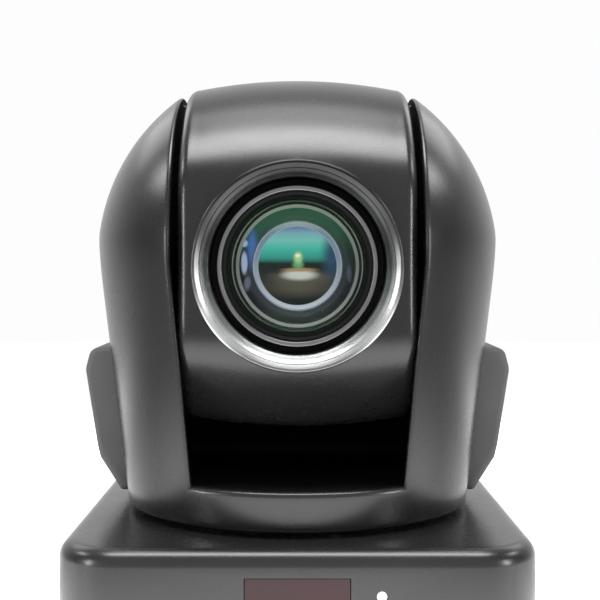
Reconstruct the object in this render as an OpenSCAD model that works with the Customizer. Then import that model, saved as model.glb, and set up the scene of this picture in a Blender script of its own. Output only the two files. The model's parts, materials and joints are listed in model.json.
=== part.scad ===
// Motorised pan, tilt and zoom camera for a table or a ceiling.
// Origin: on the pan axis, at the underside of the feet. The lens looks along -Y at rest.
// Millimetres throughout.

/* [Overall] */
// Height of the tilt axis above the underside of the feet
tilt_z = 112; // [108:1:120]
// Half the width of the square base
base_half = 71; // [70:0.5:76]
// Height of the top face of the base
base_top = 30; // [29:0.5:31]

/* [Yoke] */
// Radius of the domed upper part of the yoke
dome_r = 67.6; // [67:0.2:69]
// Radius of the yoke at its lower edge
yoke_foot_r = 57.3; // [56.5:0.1:58.5]
// Wall thickness of the yoke mouldings
yoke_wall = 2.5; // [2:0.1:3]
// Half the width of the slot between the arms
slot_half = 38.2; // [38:0.1:38.6]
// Half the width of the slot's mouth at the floor of the slot
slot_mouth_half = 32.2; // [31.5:0.1:35]

/* [Head] */
// Radius of the drum-shaped head at its middle
drum_r = 61.4; // [60:0.2:61.6]
// Half the width of the head
drum_half = 36.2; // [35.8:0.1:36.4]
// Wall thickness of the head mouldings
head_wall = 2.2; // [1.8:0.1:2.6]

/* [Lens] */
// Distance of the lens axis below the tilt axis
lens_drop = 1.2; // [0:0.1:2]
// Distance from the tilt axis to the front of the lens bezel
bezel_reach = 58; // [57:0.2:60]
// Outer radius of the lens bezel
bezel_r = 31.7; // [30:0.1:33]
// Radius of the front glass
front_glass_r = 21.8; // [20:0.1:22]
// Radius of the glass of the zoom group
zoom_glass_r = 12.2; // [11:0.1:12.4]

/* [Drives] */
// Teeth of the pan gear
gear_teeth = 72; // [72]
// Teeth of the pan pinion
pinion_teeth = 16; // [16]
// Running radius of the large tilt pulley
big_pulley_r = 16; // [14:0.5:17]
// Running radius of the small tilt pulley
small_pulley_r = 5; // [4:0.5:6]

/* [Hidden] */
$fn = 96;
gap = 0.15; // between mouldings that butt together
slip = 0.05; // radial clearance of a running fit
touch = 0.3; // clearance of a moving part from a still one

black = [0.05, 0.05, 0.055];
dark_grey = [0.16, 0.16, 0.17];
steel = [0.62, 0.63, 0.65];
silver = [0.80, 0.81, 0.83];
brass = [0.75, 0.60, 0.30];
rubber = [0.03, 0.03, 0.03];
board_green = [0.05, 0.25, 0.13];
lens_tint = [0.35, 0.65, 0.60];

// base
foot_h = 2;
plate_t = 2;
plate_top = foot_h + plate_t;
base_wall = 2.5;
base_corner_r = 20;
base_edge_r = 5;
plate_half = base_half - base_wall - 0.2;
foot_at = 47;
base_screw_at = 57;
mount_hole_at = 30;
mount_hole_r = 2.15;
tripod_y = -42;
tripod_r = 3.175;
tripod_depth = 8;
panel_half_w = 51.5;
panel_low = 6;
panel_high = 25;
panel_y = base_half - 1.5;
socket_z = 8.6; // underside of the sockets, on top of the main board
port_mid_z = 14.5;

// pan drive
spindle_r = 9;
spindle_bore_r = 6;
spindle_top = 35;
hub_bore_r = 14.25;
hub_r = 17;
hub_low = 12;
hub_flange_low = base_top + 1;
hub_flange_r = 26;
bearing_low = [13, 25];
bearing_w = 5;
ball_pitch_r = 11.6;
ball_r = 1.2;
balls = 18;
gear_module = 1;
pressure_angle = 20;
addendum = 0.9;
dedendum = 1.25;
backlash = 0.22;
gear_low = 20;
gear_t = 5;
gear_pitch_r = gear_module * gear_teeth / 2;
pinion_pitch_r = gear_module * pinion_teeth / 2;
pinion_x = gear_pitch_r + pinion_pitch_r;
pan_motor_r = 14;
pan_motor_low = plate_top + 1;
pan_motor_high = 18;

// yoke
yoke_low = base_top + 1.5;
yoke_lip_in_r = 44;
lip_screw_x = 40.5;
lip_screw_y = 28.4;
cover_screw_x = 43;
cover_screw_y = 39.5;
cover_screw_rises = [-56, 12]; // heights from the tilt axis
yoke_split_y = 36;
slot_floor_top = tilt_z - 68;
slot_floor_t = 1.5;
rear_wall_top = tilt_z - 30;

liner_in = slot_half + 0.2;
liner_t = 2;
frame_low = yoke_low + yoke_wall + 0.1;
hub_flange_t = frame_low - hub_flange_low;
frame_t = 2;
upright_in = 43.5;
upright_half_y = 16;
trunnion_r = 6;
trunnion_clear_r = 8;
tilt_bearing_r = 9;
tilt_bearing_w = 5;
tilt_bearing_in = 42;
pulley_in = 48.5;
pulley_w = 6;
motor_y = 15;
motor_drop = 48;
tilt_motor_r = 12;
tilt_motor_in = 57;
tilt_motor_out = 66.3;
belt_t = 1.2;
pod_front = -2;
pod_back = 32;
pod_wall = 2;
board_low = 39;

// head, measured from the tilt axis with the lens towards -Y
head_split_y = 14;
face_y = -56; // flat front face
belly_z = -52.5; // flat underside
belly_corner_r = 6;
drum_shoulder_x = 32.4;
drum_shoulder_drop = 3.1;
drum_side_r = 54;
case_post_x = 20;
case_post_z = 23;
case_post_end = 44;
head_plate_in = 30;
head_plate_t = 2;
block_half_w = 25;
block_half_h = 28;
block_front = -30;
block_back = 27;
barrel_r = 24.5;
barrel_front = -53;
rod_at = 17;
rod_r = 1.25;
iris_front = -9;
focus_glass_r = 7;

// ---------- helpers ----------

function arc(cx, cy, r, from, to, steps) =
    [for (i = [0:steps]) let (a = from + (to - from) * i / steps) [cx + r * cos(a), cy + r * sin(a)]];

function rounded_box(half_w, half_d, r, steps = 10) = concat(
    arc(half_w - r, half_d - r, r, 0, 90, steps),
    arc(-half_w + r, half_d - r, r, 90, 180, steps),
    arc(-half_w + r, -half_d + r, r, 180, 270, steps),
    arc(half_w - r, -half_d + r, r, 270, 360, steps));

module along_x() { rotate([0, 90, 0]) children(); }
module along_y() { rotate([-90, 0, 0]) children(); }
module at_tilt() { translate([0, 0, tilt_z]) children(); }
module at_lens() { translate([0, 0, tilt_z - lens_drop]) children(); }
module each_corner(x, y) { for (sx = [-1, 1], sy = [-1, 1]) translate([sx * x, sy * y, 0]) children(); }

module ring(outer, inner, h) {
    difference() {
        cylinder(r = outer, h = h);
        translate([0, 0, -1]) cylinder(r = inner, h = h + 2);
    }
}

// A screw standing on its head at z = 0, its shank pointing up.
module screw(shank_r, length, head_r, head_h) {
    difference() {
        union() {
            translate([0, 0, -head_h]) cylinder(r = head_r, h = head_h);
            translate([0, 0, -0.01]) cylinder(r = shank_r, h = length);
        }
        translate([0, 0, -head_h - 1]) cylinder(r = head_r * 0.5, h = 1 + head_h * 0.6, $fn = 6);
    }
}

// ---------- base ----------

module base_block() {
    steps = 4;
    hull() {
        translate([0, 0, foot_h + 0.2]) linear_extrude(0.01)
            polygon(rounded_box(base_half, base_half, base_corner_r));
        for (i = [0:steps]) {
            a = 90 * i / steps;
            in = base_edge_r * (1 - cos(a));
            up = base_top - base_edge_r * (1 - sin(a));
            translate([0, 0, up - 0.01]) linear_extrude(0.01)
                polygon(rounded_box(base_half - in, base_half - in, base_corner_r - in));
        }
    }
}

module base_shell() {
    cavity_half = base_half - base_wall;
    color(black) difference() {
        union() {
            difference() {
                base_block();
                translate([0, 0, foot_h - 1]) linear_extrude(base_top - base_wall - foot_h + 1)
                    polygon(rounded_box(cavity_half, cavity_half, base_corner_r - base_wall));
            }
            each_corner(base_screw_at, base_screw_at)
                translate([0, 0, plate_top]) cylinder(r = 3.4, h = base_top - plate_top - base_wall + 0.2);
        }
        each_corner(base_screw_at, base_screw_at) translate([0, 0, plate_top - 1]) cylinder(r = 1.3, h = 12);
        translate([0, 0, base_top - 8]) cylinder(r = hub_r + 3, h = 20);
        translate([-panel_half_w, base_half - 6, panel_low])
            cube([2 * panel_half_w, 20, panel_high - panel_low]);
        translate([-15.2, -base_half - 5, 11.8]) cube([30.4, 20, 10.4]);
        translate([24, -base_half - 5, 17]) along_y() cylinder(r = 1.6, h = 20);
    }
}

module base_plate() {
    color(steel) difference() {
        translate([0, 0, foot_h]) linear_extrude(plate_t)
            polygon(rounded_box(plate_half, plate_half, base_corner_r - base_wall));
        each_corner(base_screw_at, base_screw_at) cylinder(r = 1.6, h = 20);
        each_corner(mount_hole_at, mount_hole_at) cylinder(r = mount_hole_r, h = 20);
        translate([0, tripod_y, 0]) cylinder(r = 6, h = 20);
        for (i = [-4:4]) translate([i * 5 - 1, 44, 0]) cube([2, 16, 20]);
    }
}

module rubber_feet() {
    color(rubber) each_corner(foot_at, foot_at) cylinder(r1 = 6.4, r2 = 7, h = foot_h);
}

module tripod_bush() {
    color(brass) translate([0, tripod_y, 0]) difference() {
        union() {
            translate([0, 0, foot_h]) cylinder(r = 6 - slip, h = plate_t);
            translate([0, 0, plate_top]) cylinder(r = 9, h = tripod_depth);
        }
        translate([0, 0, foot_h - 1]) cylinder(r = tripod_r, h = tripod_depth + 1);
    }
}

module base_screws() {
    color(steel) each_corner(base_screw_at, base_screw_at)
        translate([0, 0, foot_h]) screw(1.25, 11, 2.7, 1.3);
}

module connector_panel() {
    color(dark_grey) difference() {
        translate([-panel_half_w + 0.3, panel_y - 1.5, panel_low + 0.3])
            cube([2 * panel_half_w - 0.6, 1.5, panel_high - panel_low - 0.6]);
        socket_cutouts();
    }
}

// Places of the sockets along the rear panel
dc_x = -44.5;
hdmi_x = -28;
usb_x = -9;
lan_x = 10.5;
control_x = 28;
audio_x = 37.6;
dial_x = 46;

module socket_cutouts() {
    translate([dc_x, panel_y - 5, port_mid_z]) along_y() cylinder(r = 4.7, h = 10);
    translate([hdmi_x - 7.9, panel_y - 5, port_mid_z - 3.2]) cube([15.8, 10, 6.4]);
    translate([usb_x - 6.2, panel_y - 5, port_mid_z - 5.6]) cube([12.4, 10, 11.2]);
    translate([lan_x - 8.2, panel_y - 5, socket_z - 0.1]) cube([16.4, 10, 13.7]);
    translate([control_x, panel_y - 5, port_mid_z]) along_y() cylinder(r = 4.9, h = 10);
    translate([audio_x, panel_y - 5, port_mid_z]) along_y() cylinder(r = 3.2, h = 10);
    translate([dial_x, panel_y - 5, port_mid_z]) along_y() cylinder(r = 4.4, h = 10);
}

module dc_socket() {
    front = panel_y + 0.2;
    color(black) {
        difference() {
            union() {
                translate([dc_x - 4.5, front - 14, socket_z]) cube([9, 12, 10.4]);
                translate([dc_x, front - 2.01, port_mid_z]) along_y() cylinder(r = 4.5, h = 2);
            }
            translate([dc_x, front - 9, port_mid_z]) along_y() cylinder(r = 3.1, h = 12);
        }
        translate([dc_x, front - 10, port_mid_z]) along_y() cylinder(r = 1, h = 9);
    }
}

module hdmi_socket() {
    front = panel_y + 0.3;
    color(silver) difference() {
        translate([hdmi_x - 7.6, front - 11, port_mid_z - 2.9]) cube([15.2, 11, 5.8]);
        translate([hdmi_x - 7.1, front - 9, port_mid_z - 2.3]) difference() {
            cube([14.2, 12, 4.6]);
            translate([2.4, -1, 1.9]) cube([9.4, 9, 1.1]);
        }
    }
}

module usb_socket() {
    front = panel_y + 0.3;
    color(silver) difference() {
        translate([usb_x - 6, front - 15, port_mid_z - 5.4]) cube([12, 15, 10.8]);
        translate([usb_x - 5.4, front - 12, port_mid_z - 4.7]) difference() {
            cube([10.8, 14, 9.4]);
            translate([2.6, -1, 2.6]) cube([5.6, 11.5, 3.6]);
        }
    }
}

module lan_socket() {
    front = panel_y + 0.2;
    color(silver) difference() {
        translate([lan_x - 8, front - 16, socket_z]) cube([16, 16, 13.4]);
        translate([lan_x - 5.9, front - 13, socket_z + 3]) cube([11.8, 14, 8.4]);
        translate([lan_x - 3, front - 13, socket_z + 1.2]) cube([6, 14, 2]);
    }
}

module control_socket() {
    front = panel_y + 0.3;
    color(black) difference() {
        union() {
            translate([control_x - 4.8, front - 12, socket_z]) cube([9.6, 10, 10.8]);
            translate([control_x, front - 2.01, port_mid_z]) along_y() cylinder(r = 4.7, h = 2);
        }
        translate([control_x, front - 7, port_mid_z]) difference() {
            along_y() cylinder(r = 3.9, h = 10);
            translate([0, -1, 0]) along_y() cylinder(r = 1.9, h = 7);
        }
    }
}

module audio_socket() {
    front = panel_y + 0.3;
    color(black) difference() {
        union() {
            translate([audio_x - 3.4, front - 12, socket_z]) cube([6.8, 10, 9.4]);
            translate([audio_x, front - 2.01, port_mid_z]) along_y() cylinder(r = 3, h = 2);
        }
        translate([audio_x, front - 10, port_mid_z]) along_y() cylinder(r = 1.8, h = 12);
    }
}

// Rotary selector: a slotted disc that turns about its own axis.
module format_dial() {
    color(dark_grey) translate([dial_x, panel_y - 3, port_mid_z]) difference() {
        union() {
            along_y() cylinder(r = 4, h = 3.6);
            translate([0, -4, 0]) along_y() cylinder(r = 1.2, h = 4.1);
        }
        translate([-2.9, 2.6, -0.5]) cube([5.8, 3, 1]);
        translate([1.6, 2.6, -1.1]) cube([1.1, 3, 2.2]);
    }
}

module infrared_window() {
    color([0.08, 0.01, 0.02]) translate([-15, -base_half + 0.3, 12]) cube([30, 2, 10]);
}

module status_light() {
    color([0.5, 0.7, 1]) translate([24, -base_half + 0.2, 17]) along_y() cylinder(r = 1.5, h = 4);
}

module main_board() {
    color(board_green) {
        translate([-52, 22, 7]) cube([104, 42, 1.6]);
        translate([-14, 28, 8.6]) cube([14, 14, 1.4]);
        translate([10, 30, 8.6]) cube([10, 9, 1.2]);
        translate([-46, 25, 8.6]) cube([9, 9, 1.2]);
        for (i = [0:3]) translate([-46 + i * 7, 40, 8.6]) cylinder(r = 2.6, h = 6);
        for (i = [0:5]) translate([28 + i * 4, 30, 8.6]) cube([2.2, 1.4, 0.9]);
        each_corner(48, 0) translate([0, 38, plate_top]) cylinder(r = 2.4, h = 3);
    }
}

// ---------- pan drive ----------

module pan_spindle() {
    color(steel) difference() {
        union() {
            translate([0, 0, plate_top]) cylinder(r = 20, h = 2.5);
            translate([0, 0, plate_top + 2.49]) cylinder(r = spindle_r, h = spindle_top - plate_top - 2.5);
            translate([0, 0, plate_top + 2.49])
                cylinder(r = spindle_r + 1.6, h = bearing_low[0] - plate_top - 2.6);
        }
        translate([0, 0, plate_top - 1]) cylinder(r = spindle_bore_r, h = 60);
        for (a = [45:90:315]) rotate(a) translate([16, 0, plate_top - 1]) cylinder(r = 1.6, h = 10);
    }
}

module race(outer, inner, low) {
    rotate_extrude() difference() {
        translate([inner, low]) square([outer - inner, bearing_w]);
        translate([ball_pitch_r, low + bearing_w / 2]) circle(r = ball_r + 0.1);
    }
}

module pan_inner_races() {
    color(steel) for (low = bearing_low) race(10.5, spindle_r + slip, low);
}

module pan_outer_races() {
    color(steel) for (low = bearing_low) race(hub_bore_r - slip, 12.7, low);
}

module pan_balls() {
    color(silver) for (low = bearing_low, i = [0:balls - 1])
        rotate(i * 360 / balls) translate([ball_pitch_r, 0, low + bearing_w / 2])
            sphere(r = ball_r, $fn = 32);
}

module spindle_nut() {
    color(brass) translate([0, 0, bearing_low[1] + bearing_w + 0.1]) difference() {
        cylinder(r = 12, h = 2.6, $fn = 6);
        translate([0, 0, -1]) cylinder(r = spindle_r + slip, h = 5);
    }
}

function involute(base_r, t) =
    [base_r * (cos(t) + t * PI / 180 * sin(t)), base_r * (sin(t) - t * PI / 180 * cos(t))];
function turned(p, a) = [p[0] * cos(a) - p[1] * sin(a), p[0] * sin(a) + p[1] * cos(a)];
function roll_to(base_r, r) = r <= base_r ? 0 : sqrt(r * r / (base_r * base_r) - 1) * 180 / PI;
function involute_angle(base_r, r) = let (p = involute(base_r, roll_to(base_r, r))) atan2(p[1], p[0]);

// One tooth centred on +X, as points going anticlockwise, from root to root.
function tooth(teeth, steps = 4) =
    let (pitch_r = gear_module * teeth / 2, base_r = pitch_r * cos(pressure_angle))
    let (root_r = pitch_r - dedendum, tip_r = pitch_r + addendum)
    let (half = 90 / teeth - backlash / 2 / pitch_r * 180 / PI + involute_angle(base_r, pitch_r))
    let (start = roll_to(base_r, max(base_r, root_r)), end = roll_to(base_r, tip_r))
    let (flank = [for (i = [0:steps]) involute(base_r, start + (end - start) * i / steps)])
    concat(
        [turned([min(root_r, base_r), 0], -half)],
        [for (p = flank) turned(p, -half)],
        [for (i = [steps:-1:0]) turned([flank[i][0], -flank[i][1]], half)],
        [turned([min(root_r, base_r), 0], half)]);

module spur(teeth, h) {
    linear_extrude(h)
        polygon([for (k = [0:teeth - 1], p = tooth(teeth)) turned(p, 360 * k / teeth)]);
}

module pan_gear() {
    color([0.85, 0.85, 0.8]) translate([0, 0, gear_low]) difference() {
        spur(gear_teeth, gear_t);
        translate([0, 0, -1]) cylinder(r = hub_r, h = gear_t + 2);
        for (a = [30:60:330]) rotate(a) translate([25.5, 0, -1]) cylinder(r = 5, h = gear_t + 2);
    }
}

module pan_motor() {
    color(steel) translate([pinion_x, 0, 0]) {
        translate([0, 0, pan_motor_low]) cylinder(r = pan_motor_r, h = pan_motor_high - pan_motor_low - 1);
        difference() {
            union() {
                translate([0, 0, pan_motor_high - 1.01]) cylinder(r = pan_motor_r + 0.6, h = 1);
                translate([-2.5, -20, pan_motor_high - 1.01]) cube([5, 40, 1]);
            }
            for (s = [-1, 1]) translate([0, s * 17.6, pan_motor_high - 3]) cylinder(r = 1.3, h = 6);
        }
        for (s = [-1, 1]) translate([0, s * 17.6, plate_top])
            cylinder(r = 1.25, h = pan_motor_high - plate_top);
    }
}

module pan_pinion() {
    color(brass) translate([pinion_x, 0, 0]) {
        translate([0, 0, gear_low - 0.5]) rotate(180 / pinion_teeth) spur(pinion_teeth, gear_t + 1);
        translate([0, 0, pan_motor_high + 0.2]) cylinder(r = 3.5, h = gear_low - 0.5 - pan_motor_high - 0.19);
    }
}

module pan_harness() {
    color(dark_grey) translate([0, 0, plate_top]) cylinder(r = 2.6, h = board_low - plate_top - 1);
}

module turntable_hub() {
    color(steel) difference() {
        union() {
            translate([0, 0, hub_low]) cylinder(r = hub_r - slip, h = hub_flange_low - hub_low + 0.01);
            translate([0, 0, gear_low - 1.5]) cylinder(r = hub_r + 1.5, h = 1.4);
            translate([0, 0, hub_flange_low]) cylinder(r = hub_flange_r, h = hub_flange_t);
        }
        translate([0, 0, hub_low - 1]) cylinder(r = hub_bore_r, h = 40);
        for (a = [0:90:270]) rotate(a) translate([21, 0, hub_flange_low - 1]) cylinder(r = 1.3, h = 10);
    }
}

// ---------- yoke ----------

// Outline of the yoke turned about the pan axis: a dome that runs into a cone, radius then height.
function yoke_outline(inset) =
    let (mid = tilt_z + 0.6, r = dome_r - inset, split = 8)
    let (dome_end = [r * cos(split), mid + r * sin(split)])
    let (cone_high = [65.3 - inset, tilt_z - 13], bend = [67.6 - inset, tilt_z + 5.3])
    let (low = yoke_low + inset)
    concat(
        [[0, low], [yoke_foot_r - inset - 2, low]],
        arc(yoke_foot_r - inset - 2, low + 2, 2, -70, 0, 4),
        [for (i = [0:8]) let (t = i / 8)
            (1 - t) * (1 - t) * cone_high + 2 * t * (1 - t) * bend + t * t * dome_end],
        [for (i = [1:20]) let (a = split + (90 - split) * i / 20) [r * cos(a), mid + r * sin(a)]]);

module yoke_solid(inset) { rotate_extrude() polygon(yoke_outline(inset)); }

module slot_window() {
    top = tilt_z + dome_r + 10;
    rotate([90, 0, 0]) linear_extrude(400, center = true) polygon([
        [-slot_mouth_half, slot_floor_top], [slot_mouth_half, slot_floor_top],
        [slot_half, tilt_z], [slot_half, top], [-slot_half, top], [-slot_half, tilt_z]]);
}

module yoke_walls() {
    difference() {
        yoke_solid(0);
        yoke_solid(yoke_wall);
        translate([0, 0, yoke_low - 1]) cylinder(r = yoke_lip_in_r, h = 6);
        // the slot is open to the front and the top, and stops at the rear wall
        intersection() {
            slot_window();
            translate([-100, -100, 0]) cube([200, 100, 300]);
        }
        intersection() {
            slot_window();
            translate([-100, -1, rear_wall_top]) cube([200, 200, 300]);
        }
        // ports under the side pods
        for (s = [-1, 1]) translate([s * 62, motor_y, tilt_z - motor_drop]) along_x()
            cylinder(r = tilt_motor_r + 1.5, h = 20, center = true);
    }
}

// Blocks on the inside of the wall that take the screws of the rear cover.
module cover_bosses(front, depth) {
    intersection() {
        for (s = [-1, 1], rise = cover_screw_rises)
            translate([s * (cover_screw_x + 6.6) - 9, front, tilt_z + rise - 4]) cube([18, depth, 8]);
        yoke_solid(1);
    }
}

module at_cover_screws() {
    for (s = [-1, 1], rise = cover_screw_rises)
        translate([s * cover_screw_x, cover_screw_y, tilt_z + rise]) rotate([90, 0, 0]) children();
}

module yoke_shell() {
    color(black) difference() {
        union() {
            intersection() {
                yoke_walls();
                translate([-100, -100, 0]) cube([200, 100 + yoke_split_y, 300]);
            }
            cover_bosses(yoke_split_y - 8, 8);
        }
        at_cover_screws() cylinder(r = 1.35, h = 20);
        each_corner(lip_screw_x, lip_screw_y) {
            translate([0, 0, yoke_low - 1]) cylinder(r = 2.6, h = 2.5);
            cylinder(r = 1.35, h = 60);
        }
    }
}

module yoke_rear_cover() {
    color(black) difference() {
        union() {
            intersection() {
                yoke_walls();
                translate([-100, yoke_split_y + 0.2, 0]) cube([200, 100, 300]);
            }
            cover_bosses(yoke_split_y + 0.2, 20);
        }
        for (i = [-4:4]) translate([i * 5.6 - 1.2, 30, tilt_z - 60]) cube([2.4, 60, 20]);
        at_cover_screws() {
            translate([0, 0, -30]) cylinder(r = 2.9, h = 30);
            translate([0, 0, -1]) cylinder(r = 1.35, h = 20);
        }
    }
}

module rear_cover_screws() {
    color(steel) at_cover_screws() screw(1.3, 11, 2.6, 1.4);
}

// The flat cheek that closes an arm on the side of the slot.
module arm_liner(side) {
    color(black) difference() {
        intersection() {
            translate([side > 0 ? liner_in : -liner_in - liner_t, -100, slot_floor_top + 0.1])
                cube([liner_t, 200, 200]);
            yoke_solid(yoke_wall + gap);
        }
        at_tilt() along_x() cylinder(r = trunnion_clear_r, h = 200, center = true);
    }
}
module arm_liner_left() { arm_liner(-1); }
module arm_liner_right() { arm_liner(1); }

module slot_floor() {
    color(black) intersection() {
        translate([-liner_in, -100, slot_floor_top - slot_floor_t]) cube([2 * liner_in, 200, slot_floor_t]);
        yoke_solid(yoke_wall + gap);
    }
}

module yoke_frame() {
    color(steel) difference() {
        union() {
            translate([0, 0, frame_low]) cylinder(r = 53, h = frame_t);
            for (s = [-1, 1]) {
                translate([s * (upright_in + frame_t / 2) - frame_t / 2, -upright_half_y, frame_low])
                    cube([frame_t, 2 * upright_half_y, tilt_z - frame_low]);
                at_tilt() translate([s > 0 ? upright_in : -upright_in - frame_t, 0, 0])
                    along_x() cylinder(r = upright_half_y, h = frame_t);
                at_tilt() translate([s > 0 ? tilt_bearing_in : -tilt_bearing_in - tilt_bearing_w, 0, 0])
                    along_x() cylinder(r = tilt_bearing_r + 2, h = tilt_bearing_w);
            }
            each_corner(28, 22) translate([0, 0, frame_low + frame_t - 0.01])
                cylinder(r = 2.5, h = board_low - frame_low - frame_t);
        }
        at_tilt() along_x() cylinder(r = tilt_bearing_r, h = 200, center = true);
        translate([0, 0, frame_low - 1]) cylinder(r = 14, h = 10);
        for (a = [0:90:270]) rotate(a) translate([21, 0, frame_low - 1]) cylinder(r = 1.3, h = 10);
        for (s = [-1, 1]) translate([s * upright_in - 5, -7, frame_low + 14]) cube([10, 14, 22]);
        each_corner(lip_screw_x, lip_screw_y) cylinder(r = 1.3, h = 60);
    }
}

module frame_screws() {
    color(steel) {
        for (a = [0:90:270]) rotate(a)
            translate([21, 0, frame_low + frame_t]) mirror([0, 0, 1]) screw(1.25, 4.2, 2.4, 1.4);
        each_corner(lip_screw_x, lip_screw_y) translate([0, 0, yoke_low + 1.5]) screw(1.25, 4.2, 2.4, 1.4);
    }
}

// Outline of a side pod seen from the front, outward from the pan axis, heights from the tilt axis.
function pod_outline(inset) = concat(
    [[56, -78 + inset], [60.4 - inset, -78 + inset]],
    [[67.4 - inset, -67], [68.5 - inset, -63]],
    arc(68 - inset, -34 - inset, 4.6, -8, 70, 6),
    [[65.5 - inset, -28.6 - inset], [56, -28.6 - inset]]);

module pod_solid(inset) {
    edge = 2.4;
    hull() {
        translate([0, pod_back - inset, 0]) rotate([90, 0, 0])
            linear_extrude(pod_back - pod_front - 2 * inset) polygon(pod_outline(inset + edge));
        translate([0, pod_back - inset - edge, 0]) rotate([90, 0, 0])
            linear_extrude(pod_back - pod_front - 2 * inset - 2 * edge) polygon(pod_outline(inset));
    }
}

module side_pod(side) {
    color(dark_grey) mirror([side < 0 ? 1 : 0, 0, 0]) difference() {
        at_tilt() difference() {
            pod_solid(0);
            pod_solid(pod_wall);
            for (i = [0:6]) translate([62, pod_front + 6, -63 + i * 3.6])
                cube([20, pod_back - pod_front - 12, 1.4]);
        }
        yoke_solid(-gap);
    }
}
module side_pod_left() { side_pod(-1); }
module side_pod_right() { side_pod(1); }

module tilt_bearings() {
    color(steel) for (s = [-1, 1])
        at_tilt() translate([s > 0 ? tilt_bearing_in + 0.2 : -tilt_bearing_in - tilt_bearing_w + 0.2, 0, 0])
            along_x() ring(tilt_bearing_r - slip, trunnion_r + slip, tilt_bearing_w - 0.4);
}

module tilt_motor_plate() {
    color(steel) translate([0, motor_y, tilt_z - motor_drop]) difference() {
        union() {
            translate([-tilt_motor_in, 0, 0]) along_x() cylinder(r = 13, h = 1.5);
            for (s = [-1, 1]) translate([-tilt_motor_in + 1.4, 0, s * 10.2]) along_x()
                cylinder(r = 2, h = tilt_motor_in - upright_in - frame_t - 1.4);
        }
        translate([-tilt_motor_in - 1, 0, 0]) along_x() cylinder(r = 3, h = 5);
    }
}

module tilt_motor() {
    color(silver) translate([0, motor_y, tilt_z - motor_drop]) {
        translate([-tilt_motor_out, 0, 0])
            along_x() cylinder(r = tilt_motor_r, h = tilt_motor_out - tilt_motor_in);
        translate([-tilt_motor_in - 0.01, 0, 0]) along_x() cylinder(r = 2.8, h = 1.8);
    }
}

module pulley(r, flange_r) {
    cylinder(r = flange_r, h = 0.6);
    translate([0, 0, 0.59]) cylinder(r = r, h = pulley_w - 1.18);
    translate([0, 0, pulley_w - 0.6]) cylinder(r = flange_r, h = 0.6);
}

module motor_pulley() {
    color(brass) translate([0, motor_y, tilt_z - motor_drop]) {
        translate([-pulley_in - pulley_w, 0, 0]) along_x() pulley(small_pulley_r, small_pulley_r + 1.6);
        translate([-tilt_motor_in + 2.1, 0, 0])
            along_x() cylinder(r = 1.5, h = tilt_motor_in - 2.1 - pulley_in - pulley_w + 0.01);
    }
}

module tilt_pulley() {
    color(silver) at_tilt() translate([-pulley_in - pulley_w, 0, 0]) along_x() difference() {
        pulley(big_pulley_r, big_pulley_r + 1.6);
        translate([0, 0, -1]) cylinder(r = trunnion_r - 1.5 + slip, h = pulley_w + 2);
        for (a = [0:60:300]) rotate(a) translate([10.4, 0, -1]) cylinder(r = 2.6, h = pulley_w + 2);
    }
}

// The belt's loop seen along X: the outline round both pulleys, with room to run.
module belt_loop(extra) {
    span = sqrt(motor_y * motor_y + motor_drop * motor_drop);
    lean = atan2(-motor_drop, motor_y);
    rotate(lean) hull() {
        circle(r = big_pulley_r + extra);
        translate([span, 0]) circle(r = small_pulley_r + extra);
    }
}

module tilt_belt() {
    width = pulley_w - 1.8;
    color(rubber) at_tilt() translate([-pulley_in - pulley_w + 0.9, 0, 0])
        rotate([90, 0, 90]) linear_extrude(width) difference() {
            belt_loop(0.2 + belt_t);
            belt_loop(0.2);
        }
}

module yoke_board() {
    color(board_green) {
        difference() {
            translate([-32, -26, board_low]) cube([64, 52, 1.6]);
            each_corner(28, 22) translate([0, 0, board_low - 1]) cylinder(r = 1.5, h = 4);
        }
        translate([-8, -18, board_low + 1.59]) cube([12, 12, 1]);
        translate([14, 2, board_low + 1.59]) cube([7, 9, 1]);
        translate([-24, 4, board_low + 1.59]) cube([8, 6, 1]);
    }
}

// The lead that climbs the right arm and turns into the hollow trunnion.
module tilt_harness() {
    r = 2.2;
    bend_r = 4;
    bend_x = 52;
    lean = 10;
    low = tilt_z - bend_r;
    color(dark_grey) {
        translate([bend_x, 0, tilt_z - bend_r]) rotate([90, 0, 0]) rotate_extrude(angle = 90)
            translate([bend_r, 0]) circle(r = r);
        translate([bend_x - 4, 0, tilt_z]) along_x() cylinder(r = r, h = 4.01);
        translate([bend_x + bend_r, 0, low - 26]) cylinder(r = r, h = 26.01);
        translate([bend_x + bend_r, 0, low - 26]) rotate([0, 180 + lean, 0]) cylinder(r = r, h = 40);
        translate([bend_x - 5, -4, frame_low + frame_t]) cube([5, 8, 8]);
    }
}

// ---------- head ----------

// Half outline of the drum across its width: radius from the tilt axis, then distance from the middle.
function drum_outline(inset) =
    let (w = drum_half - inset, r = drum_r - inset, shoulder = drum_shoulder_x)
    let (edge_r = r - drum_shoulder_drop)
    concat(
        [[0, -w], [drum_side_r - inset, -w]],
        [for (i = [1:8]) let (a = 90 * i / 8)
            [drum_side_r - inset + (edge_r - drum_side_r + inset)
                * sin(a), -shoulder - (w - shoulder) * cos(a)]],
        [for (i = [-9:9]) let (x = shoulder * i / 10)
            [r - drum_shoulder_drop * x * x / shoulder / shoulder, x]],
        [for (i = [8:-1:1]) let (a = 90 * i / 8)
            [drum_side_r - inset + (edge_r - drum_side_r + inset)
                * sin(a), shoulder + (w - shoulder) * cos(a)]],
        [[drum_side_r - inset, w], [0, w]]);

// The drum with a flat face at the front and a flat underside, their lower corner rounded.
module head_form(inset) {
    front = face_y + inset;
    low = belly_z + inset;
    r = belly_corner_r - inset;
    intersection() {
        along_x() rotate_extrude() polygon(drum_outline(inset));
        rotate([90, 0, 90]) linear_extrude(200, center = true) polygon(concat(
            arc(front + r, low + r, r, 180, 270, 6), [[100, low], [100, 100], [front, 100]]));
    }
}

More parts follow.
